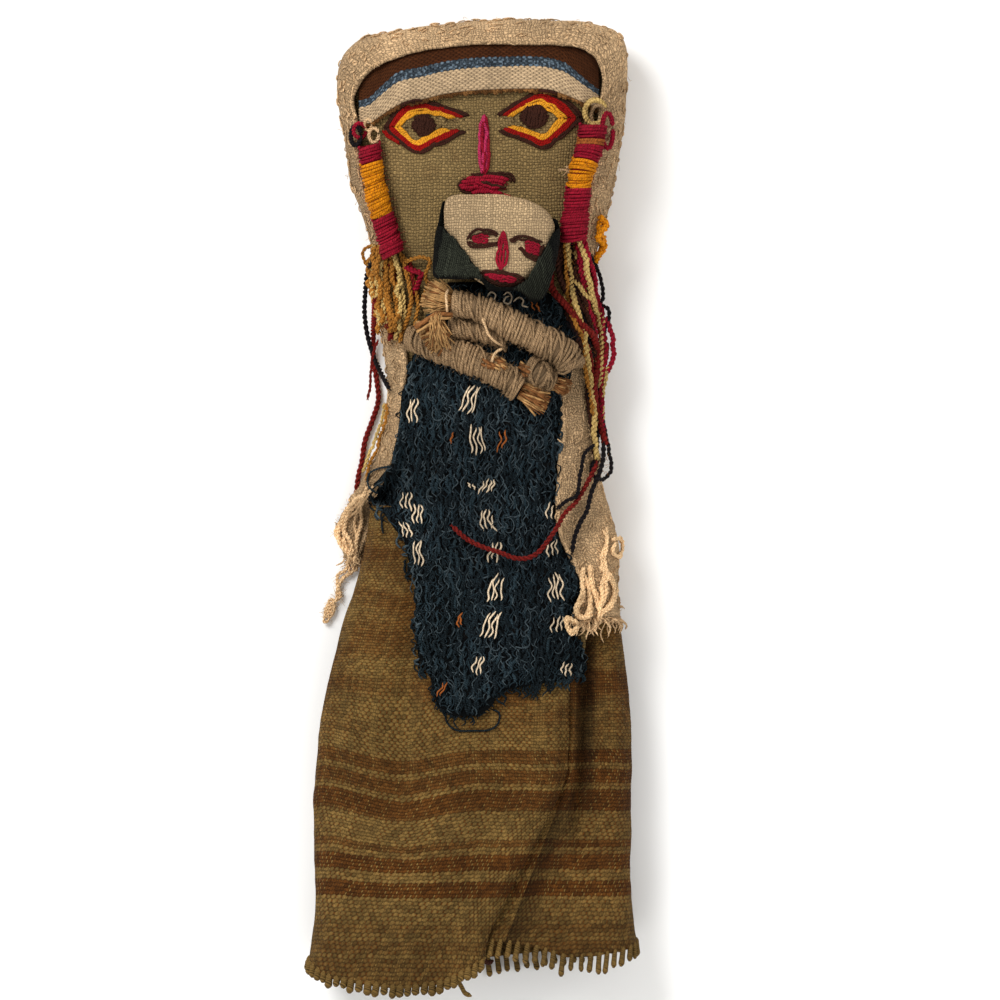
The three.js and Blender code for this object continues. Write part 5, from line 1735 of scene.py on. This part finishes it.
class DOLL_OT_wrap(bpy.types.Operator):
    """Makes the dark blue wrap: its ground, its curly yarns, its brocaded marks and its frayed foot"""

    bl_idname = "doll.wrap"
    bl_label = "Indigo wrap"

    def execute(self, context):
        below = surface_of("padded_body", "gauze_headcloth", "wound_skirt")
        heights = np.linspace(WRAP_EDGES[0][0], WRAP_EDGES[-1][0], WRAP_ROWS)
        grid = np.zeros((WRAP_ROWS, WRAP_COLUMNS, 3))
        for i, y in enumerate(heights):
            left, right = wrap_edges(y)
            for j, x in enumerate(np.linspace(left + 0.6, right - 0.6, WRAP_COLUMNS)):
                grid[i, j] = (x, y, height(below, x, y, 3) + 1.9)
        smooth = softened(grid, 6)
        grid[..., 2] = np.maximum(grid[..., 2], smooth[..., 2])
        grid[..., 2] = softened(grid, 3)[..., 2] + 0.35 * ripple(grid, 9, 3) + 0.2
        c = colours()
        ground = Strands(61)
        ground.sheet(grid[:, ::-1])
        dark = cloth("Indigo ground", shade_of(c.indigo, 0.5), shade_of(c.indigo, 0.3), (0.9, 0.8), 0.6,
                     (0.3, 0.3), 0.6, dark=0.2, contrast=0.4, soil=0.05)
        made = ground.piece("wrap_ground", [dark], "indigo_cloth", ["indigo_wrap"], wall=1.1)
        ground = surface_of("wrap_ground")
        teal = shade_of(c.indigo, 3.5)
        grey = (6 * c.indigo[0] + 0.024, 5 * c.indigo[1] + 0.03, 4.5 * c.indigo[2] + 0.034)
        blues = [yarn("Indigo yarn", c.indigo, light=teal, depth=0.25),
                 yarn("Faded teal yarn", teal, light=shade_of(teal, 1.9), depth=0.25),
                 yarn("Greyed crepe yarn", grey), yarn("Cream marks", (0.66, 0.52, 0.36)), plain_yarn("rust")]
        curls = Strands(62)
        wrap_warps(curls, ground)
        wrap_wefts(curls, ground)
        curls = curls.piece("wrap_yarns", blues, "indigo_cloth")
        extras = Strands(63)
        wrap_marks(extras, ground)
        wrap_snarls(extras, ground)
        wrap_foot(extras)
        extras = extras.piece("wrap_marks", blues, "indigo_cloth")
        return {"FINISHED"}


# Bound arms and split reed

# Each arm: its way in plan, and its radius at the start, the middle and the end
ARMS = {
    "arm_upper_right": ([(-8.4, 60.9), (0.6, 58.8), (9.5, 54), (17.8, 49.8), (24.2, 46.4), (27.4, 43.4),
                         (28, 40.4)], (3.7, 4.7, 4.7)),
    "arm_middle": ([(-9, 53), (-1.6, 52.3), (4.6, 50.1), (8, 48.3)], (3.1, 3.1, 2.2)),
    "arm_lower_left": ([(-22.4, 50.4), (-14.6, 47.2), (-7.4, 45), (-0.9, 42.4), (5.3, 39.4), (9.5, 36.6),
                        (12, 34.4)], (3.4, 4.7, 4.1)),
    "arm_stub": ([(15.4, 41), (18.9, 38.8), (22, 37)], (3.7, 4.3, 3.9)),
}
HEMP, UNDER, PALE = range(3)  # finishes of an arm
ARM_YARN = 0.58
# Pale threads that bind the reed inside and show between the turns
ARM_TIES = [
    [(-9.7, 65, 33.5), (-10.4, 63, 36), (-10.2, 60, 36.3), (-10, 57, 34.6)],
    [(0.6, 56.5, 37.2), (1.6, 53.8, 36.4), (2.8, 50.8, 34.8), (5, 48.6, 33.2), (7.8, 47.2, 31)],
    [(3.7, 42.3, 36), (4.2, 44.4, 36.2), (5.6, 46, 35.6), (7.1, 46.6, 34.4)],
]
# Each tuft: from, to, half width at each, thickness, splinters, share of reddish ones
REED_TUFTS = {
    "reeds_upper": ((-8.4, 61, 31.6), (-17.4, 64, 31.6), (2.6, 4.0), 2.2, 210, 0.15),
    "reeds_middle": ((-10, 53.4, 33), (-17.6, 49.4, 36.4), (2.4, 4.6), 1.8, 170, 0.4),
    "reeds_lower": ((12.6, 33.8, 31.4), (21, 29.6, 30.4), (2.6, 3.0), 2.0, 150, 0.75),
    "reeds_stub": ((22.8, 36.4, 30.4), (27.7, 34.2, 29.4), (1.9, 2.0), 1.5, 90, 0.8),
}


def arm_axis(node, plan, radii):
    """The middle line of an arm's solid."""
    tree = solid(node)
    path = spline(plan, 1.0)
    tops = np.array([height(tree, x, y, -1) for x, y in path])
    found = np.flatnonzero(tops > 0)
    tops = np.interp(np.arange(len(path)), found, tops[found])
    level = tops - stretched(radii, len(path))
    level = np.convolve(np.pad(level, 3, mode="edge"), np.ones(7) / 7, mode="valid")
    return np.c_[path, level]


def split_reeds():
    """Fills each tuft with splinters between its two ends, and adds what is special to some of them."""
    c = colours()
    pale = plain_yarn("reed", light=shade_of(c.reed, 1.5), pitch=9)
    red = yarn("Reddened reed", (c.reed[0] * 0.5, c.reed[1] * 0.36, c.reed[2] * 0.3), pitch=9)
    for seed, (node, (start, end, half, thick, count, reddish)) in enumerate(REED_TUFTS.items(), 81):
        tuft = Strands(seed)
        chance = tuft.chance
        start = np.array(start)
        way = np.array(end) - start
        aside = np.array([way[1], -way[0], 0]) / np.linalg.norm(way[:2])
        for _ in range(count):
            across, up = chance.uniform(-1, 1, 2)
            up *= math.sqrt(max(0.0, 1 - across * across))
            long = chance.uniform(0.55, 1.04)
            foot = start + aside * across * half[0] + (0, 0, up * thick)
            tip = start + way * long + aside * (across * half[1] + chance.normal(0, 0.9))
            tip += (0, 0, up * thick * 0.9 + chance.normal(0.1, 0.3))
            middle = (foot + tip) / 2 + chance.normal(0, 0.25, 3)
            finish = int(chance.uniform() < reddish)
            tuft.tube([foot, middle, tip], chance.uniform(0.14, 0.36), finish, 4)
        if node == "reeds_middle":
            for k in range(90):
                foot = np.array([-13.6, 56.4, 37.2]) + chance.normal(0, 0.8, 3)
                tip = np.array([-9.6 - 5.4 * k / 90, 47.2 + 1.6 * (k % 3), 37.4]) + chance.normal(0, 0.9, 3)
                tuft.tube([foot, (foot + tip) / 2 + chance.normal(0, 0.3, 3), tip], 0.2, k % 5 == 0, 4)
            tuft.tube([(-8.5, 57, 35.6), (-13.3, 57.4, 37), (-20, 53, 37.6)], 0.8, 1, 7)
            tuft.tube([(-9, 56, 36.4), (-12.6, 55.8, 37.8), (-19.4, 51.6, 38)], 0.5, 0, 5)
        if node == "reeds_lower":
            worn_place(tuft, "bound_arm_lower_left", (4.4, 42.6), (3.2, 2.2), 26)
        if node == "reeds_stub":
            worn_place(tuft, "bound_arm_stub", (13.6, 40.2), (0.9, 2.0), 12)
        tuft.piece("split_" + node, [pale, red], "reed", [node])


def worn_place(tuft, arm, centre, half, count):
    """A worn place in an arm's winding, where the reed inside shows."""
    chance = tuft.chance
    top = surface_of(arm)
    for _ in range(count):
        x, y = np.array(centre) + chance.uniform(-1, 1, 2) * half
        way = np.array([chance.normal(0.8, 0.3), -0.5])
        ends = [np.array([x, y]) - way * 1.1, np.array([x, y]) + way * 1.1]
        path = [(*p, height(top, *p, 30) + 0.1 + chance.uniform(0, 0.2)) for p in ends]
        tuft.tube(path, chance.uniform(0.35, 0.6), int(chance.uniform() < 0.85), 5)


class DOLL_OT_arms(bpy.types.Operator):
    """Winds yarn round each arm and splits the reed at its end"""

    bl_idname = "doll.arms"
    bl_label = "Arms"

    def execute(self, context):
        c = colours().hemp
        hemp = plain_yarn("hemp", dark=shade_of(c, 0.5), depth=0.3)
        under = yarn("Shaded hemp", shade_of(c, 0.45))
        pale = plain_yarn("gauze")
        for seed, (node, (plan, radii)) in enumerate(ARMS.items(), 71):
            arm = Strands(seed)
            axis = arm_axis(node, plan, radii)
            size = stretched(radii, len(axis)) * (1 + 0.06 * ripple(axis, 4, seed))
            # The core beneath the windings is hemp darkened as painted shade, where it shows between the
            # turns.
            arm.tube(axis, size - 1.1 * ARM_YARN, UNDER, 14)
            fine = stretched(size, 60)
            arm.wound(axis, fine - 1.6 * ARM_YARN, ARM_YARN, sizes().arm_pitch, HEMP, 16, 5, 0.3)
            arm.wound(axis, fine - 0.7 * ARM_YARN, 0.42, 3.4, HEMP, 14, 4, 0.25)
            arm.wound(axis[::-1], fine[::-1] - 0.6 * ARM_YARN, 0.34, 5.2, HEMP, 14, 4, 0.35)
            arm.fuzz(axis, size, 600, 1.2, HEMP)
            if node == "arm_upper_right":
                for line in ARM_TIES:
                    arm.tube(spline(line, 0.4), 0.42, PALE, 6, taper=0.8)
            arm.piece("bound_" + node, [hemp, under, pale], "arm_yarn", [node])
        split_reeds()
        return {"FINISHED"}


# Bound locks, loops and tassels

# Each lock: way, radius at its start, middle and end, and where each colour ends along the doll
LOCKS = {
    "left": ([(-34.2, 109.6), (-33.2, 101), (-31.6, 93), (-29.4, 85.3), (-26.8, 76)], (3.4, 3.5, 3.6),
             [("crimson", 104.3), ("orange", 88.2), ("crimson", 76)]),
    "right": ([(35, 115.8), (33.8, 108.4), (31.2, 100.8), (30, 93), (29.2, 85.4),
               (28.8, 80)], (4.3, 3.8, 4.3),
              [("crimson", 111.6), ("rust", 109.6), ("crimson", 104.8), ("orange", 96.7), ("crimson", 80)]),
}
LOCK_WISPS = {"left": (-29.8, 94.6), "right": (27, 102)}
# Each ring of a loop: colour, middle, half width and half height, radius
LOCK_LOOPS = {
    "left": [("black", (-38.4, 112.6), (1.5, 3.0), 0.8), ("crimson", (-37.2, 114.2), (1.9, 2.2), 0.7),
             ("gauze", (-32.8, 112.8), (1.5, 2.2), 0.6), ("gauze", (-34.6, 116), (1.1, 1.6), 0.5)],
    "right": [("straw", (35.6, 119.8), (3.2, 3.7), 0.95), ("hemp", (36.6, 118.8), (2.2, 3.2), 0.7),
              ("crimson", (39.4, 114), (1.7, 5.4), 0.85)],
}


def lock_wisps(lock, side, finish):
    """Pale wisps that stick out between the turns."""
    x, y = LOCK_WISPS[side]
    z = height(surface_of("padded_body"), x, y, 25) + 3.5
    for _ in range(26):
        away = lock.chance.normal(0, 0.6, 3)
        path = [(x, y, z), (x + away[0], y + away[1], z + abs(away[2]) + 0.4),
                (x + 2.56 * away[0], y + 1.6 * away[1], z + 0.6)]
        lock.tube(spline(path, 0.5), 0.14, finish, 4, taper=0.6)


def lock_loops(side, below, wools, names):
    made = Strands(95)
    turn = np.linspace(0.3, FULL_TURN + 0.1, 14)
    for level, (key, (x, y), (wide, tall), radius) in enumerate(LOCK_LOOPS[side]):
        plan = [(x + wide * math.cos(a), y + tall * math.sin(a), 0.5 * level + 0.3 * math.sin(a))
                for a in turn]
        made.plied(laid(plan, below, radius, 1.3, 0.4), radius, names.index(key), 2.0, 6, 0.2)
    made.piece("loop_of_" + side, wools, "crimson_yarn" if side == "left" else "ochre_yarn", ["loop_" + side])


class DOLL_OT_locks(bpy.types.Operator):
    """Winds the two locks at the temples and makes the loops above them"""

    bl_idname = "doll.locks"
    bl_label = "Locks"

    def execute(self, context):
        below = surface_of("padded_body", "gauze_headcloth", "headcloth_edge", "striped_headband")
        names = ["crimson", "orange", "hemp", "straw", "black", "gauze", "rust"]
        wools = plain_yarns(*names)
        for side, (plan, radii, ends) in LOCKS.items():
            lock = Strands(91)
            axis = laid(plan, below, max(radii), -0.5, 1.0, 6)
            size = stretched(radii, len(axis))
            lock.tube(axis, size - 0.7, 0, 12, taper=2.0)
            level = stretched(axis[:, 1], 400)
            fine = stretched(size, 60)
            start = 0.0
            for k, (key, end) in enumerate(ends):
                stop = float(np.argmax(level <= end) / 399) if k < len(ends) - 1 else 1.0
                wool = names.index(key)
                lock.wound(axis, fine - 0.7, 0.54, sizes().lock_pitch, wool, 16, 5, 0.22, (start, stop))
                back = (1 - stop, 1 - start)
                lock.wound(axis[::-1], fine[::-1] - 0.4, 0.36, 2.6, wool, 16, 4, 0.22, back)
                start = stop
            lock.fuzz(axis, size + 0.2, 320, 1.3, 0)
            lock_wisps(lock, side, names.index("gauze"))
            lock.piece("bound_lock_of_" + side, wools, "orange_yarn", ["bound_lock_" + side])
            lock_loops(side, below, wools, names)
        return {"FINISHED"}


# Each tassel: way, half widths along it, colours of its strands, seed
TASSELS = {
    "left": ([(-29.8, 79), (-29.8, 72), (-29.4, 66), (-28.6, 60), (-27.6, 52), (-27, 47)],
             (3.0, 4.4, 4.6, 4.4, 3.4, 2.0),
             ["ochre"] * 6 + ["straw"] * 5 + ["ochre", "madder", "straw"], 97),
    "right": ([(28.8, 82), (30.2, 72), (32.6, 60), (35.6, 48), (35.8, 31), (37.2, 18), (37.6, 8)],
              (3.0, 5.0, 5.4, 3.8, 2.0, 1.8, 1.6),
              ["brown", "crimson", "straw", "madder", "brown", "ochre", "madder", "black", "crimson", "straw",
               "madder", "straw"], 98),
}
# Single strands of the tassels: colour, radius, way
LONE_STRANDS = {
    "left": [
        ("ochre", 0.7, [(-24, 76), (-22.9, 73.9), (-18.7, 75), (-15.5, 73.9), (-17, 69.8), (-16.3, 65.7),
                        (-18.7, 60.8)]),
        ("crimson", 1.0, [(-23.6, 72.6), (-21, 71), (-18.4, 69.9), (-19.4, 66), (-21.1, 63)]),
        ("madder", 0.8, [(-28.6, 77), (-28, 73), (-26.6, 69), (-26.1, 65.7)]),
        ("ochre", 0.6, [(-33, 79), (-36, 78), (-36.6, 75.4), (-35, 73), (-33.6, 75.4)]),
        ("straw", 0.6, [(-29.6, 30), (-30.2, 26), (-31, 22.9), (-34.4, 13.9), (-36.6, 8.6)]),
        ("ochre", 0.6, [(-28.8, 30), (-29.6, 24), (-32.4, 15), (-34.6, 10), (-35.4, 6)]),
        ("madder", 0.5, [(-31.6, 50), (-33.4, 44), (-34, 36), (-35, 31)]),
        ("ochre", 0.8, [(-25, 77), (-22.6, 70), (-21.4, 62), (-23.2, 54.4), (-25, 48.4)]),
        ("straw", 0.7, [(-26, 76), (-24.2, 66.7), (-23.4, 58.9), (-25.2, 51.2)]),
        ("madder", 0.8, [(-21.7, 73.8), (-20.5, 66.7), (-21.2, 60.5)]),
        ("ochre", 0.7, [(-23.4, 74), (-19.8, 66), (-19.4, 58), (-20.6, 53)]),
    ],
    "right": [
        ("brown", 1.0, [(24.4, 79), (23.8, 74), (25.2, 68), (27.4, 63), (30, 59)]),
        ("brown", 0.9, [(26.4, 80), (26.6, 74), (28.4, 67), (30.4, 61), (33, 57)]),
        ("black", 0.7, [(26.8, 55), (30.9, 49.3), (33.4, 41), (33.8, 32.9), (35.9, 24.6), (36.3, 18),
                        (32.6, 14.7), (31, 8), (30, 1.4), (26.9, -0.2), (23.6, -3)]),
        ("straw", 0.8, [(27.6, 79), (28.8, 69.8), (31.7, 64.9), (35.5, 60.8), (37.9, 56.7), (38.3, 51.8)]),
        ("straw", 0.7, [(25.4, 69), (26.4, 64.9), (26.8, 61.6), (29.3, 56.7), (32.2, 50.1), (34.2, 45.1),
                        (34.6, 41)]),
        ("madder", 1.25, [(22, 71), (22.3, 65.4), (26.8, 60), (31, 54.6), (35, 50.8), (36.6, 46), (36.3, 42),
                          (35.3, 33.8), (37.2, 24.5), (39, 17)]),
        ("crimson", 0.9, [(29.3, 80.6), (31.6, 73.9), (33.8, 67.3), (36.3, 60), (38.3, 53.3), (37.5, 49.3)]),
        ("crimson", 0.9, [(39, 57), (40.8, 51.8), (41.6, 46), (39.4, 39.4)]),
        ("straw", 0.7, [(39.8, 42), (38.6, 36), (37.9, 32.9), (38.3, 28.7), (37.9, 22.9)]),
        ("black", 0.7, [(34.2, 76), (37.1, 69.8), (38.3, 63.2), (37.4, 60.8), (39.6, 59.4), (40, 55.6),
                        (38.6, 52.6), (37.4, 44), (36.6, 36), (37.6, 28), (38.6, 22), (40.4, 13.1),
                        (40.6, 9), (38.3, 6.5), (35, 7.3), (34.6, 10.6), (36.7, 13.1)]),
        ("orange", 1.2, [(37, 88), (39, 85.5), (37.6, 83), (36.6, 81), (38.4, 79), (36.8, 76), (36, 73.6)]),
        ("orange", 0.9, [(37.6, 86.6), (36.6, 84), (38.4, 81), (37.4, 78), (36.4, 75)]),
    ],
}


SIDE_REST = 17  # a strand that goes over the side lies against it no lower than this


def kinked(path, size, seed):
    """A yarn's way with the small bends that it keeps from its old weave."""
    flat = path * (1, 1, 0.5)
    bends = [ripple(flat + 31 * seed, 1.7, n) + 0.7 * ripple(flat + 17 * seed, 3.6, n)
             for n in range(seed, seed + 3)]
    return path + size * np.stack(bends, axis=1) * (1, 0.6, 0.5)


class DOLL_OT_tassels(bpy.types.Operator):
    """Hangs a tassel of two-ply yarns from each lock"""

    bl_idname = "doll.tassels"
    bl_label = "Tassels"

    def execute(self, context):
        below = surface_of("padded_body", "gauze_headcloth", "wound_skirt", "wrap_ground")
        names = ["ochre", "crimson", "madder", "straw", "brown", "black", "orange"]
        wools = plain_yarns(*names)
        for side, (plan, halves, keys, seed) in TASSELS.items():
            made = Strands(seed)
            middle = spline(plan, 1.0)
            share = lengths(middle)
            share /= share[-1]
            half = np.interp(share, np.linspace(0, 1, len(halves)), halves)
            aside = np.gradient(middle, axis=0)
            aside = np.stack([-aside[:, 1], aside[:, 0]], 1) / np.linalg.norm(aside, axis=1, keepdims=True)
            for k, key in enumerate(keys):
                across = -1 + 2 * (k * 0.618 % 1)
                stop = int(len(middle) * made.chance.uniform(0.62, 1.0))
                flat = np.c_[middle, np.full(len(middle), 3.0 * k)]
                sway = across * half + 1.0 * ripple(flat, 9, k)
                layer = 1.7 * (k % 3) * np.interp(share, [0, 0.2, 0.75, 1], [0.4, 1, 0.8, 0.3])
                radius = made.chance.uniform(0.8, 1.1)
                line = np.c_[middle + aside * sway[:, None], layer][:stop:3]
                size = 1.05 if side == "left" else 0.5
                way = kinked(laid(line, below, radius, 0.1, 0.6, 8), size, k + seed)
                made.plied(at_least(way, SIDE_REST), radius, names.index(key), 3.2, 5, 0.5)
            for k, (key, radius, way) in enumerate(LONE_STRANDS[side]):
                lift = 2.2 if key == "black" else 3.0
                last = len(way) - 1
                line = [(x, y, lift * min(1, n / 2, (last - n) / 2)) for n, (x, y) in enumerate(way)]
                size = 0.25 if key in ("madder", "black") else 0.5
                way = kinked(laid(line, below, radius, 0.2, 0.5, 8), size, k)
                made.plied(at_least(way, SIDE_REST), radius, names.index(key), 3.0, 5, 0.45)
            axis = laid(plan, below, 1.0, 0.8, 1.0, 8)
            made.fuzz(axis[axis[:, 2] > SIDE_REST], 1.6, 200, 1.4, 0)
            made.piece("tassel_of_" + side, wools, "ochre_yarn", ["tassel_" + side])
        return {"FINISHED"}


OPERATORS = [
    DOLL_OT_stage, DOLL_OT_loose_yarns, DOLL_OT_body, DOLL_OT_headcloth, DOLL_OT_headband, DOLL_OT_face,
    DOLL_OT_skirt, DOLL_OT_child, DOLL_OT_wrap, DOLL_OT_arms, DOLL_OT_locks, DOLL_OT_tassels,
]


class DOLL_PT_panel(bpy.types.Panel):
    """Colours, sizes and a button for each group of pieces"""

    bl_idname = "DOLL_PT_panel"
    bl_label = "Burial doll"
    bl_space_type = "VIEW_3D"
    bl_region_type = "UI"
    bl_category = "Doll"

    def draw(self, context):
        for settings in (context.scene.doll_colours, context.scene.doll_sizes):
            box = self.layout.box()
            for key in settings.__annotations__:
                box.prop(settings, key)
        for kind in OPERATORS:
            self.layout.operator(kind.bl_idname)


CLASSES = (DollColours, DollSizes, *OPERATORS, DOLL_PT_panel)


def register():
    for kind in CLASSES:
        bpy.utils.register_class(kind)
    bpy.types.Scene.doll_colours = bpy.props.PointerProperty(type=DollColours)
    bpy.types.Scene.doll_sizes = bpy.props.PointerProperty(type=DollSizes)


def unregister():
    del bpy.types.Scene.doll_sizes
    del bpy.types.Scene.doll_colours
    for kind in reversed(CLASSES):
        bpy.utils.unregister_class(kind)


def main():
    register()
    for kind in OPERATORS:
        group, name = kind.bl_idname.split(".")
        getattr(getattr(bpy.ops, group), name)()


if __name__ == "__main__":
    main()
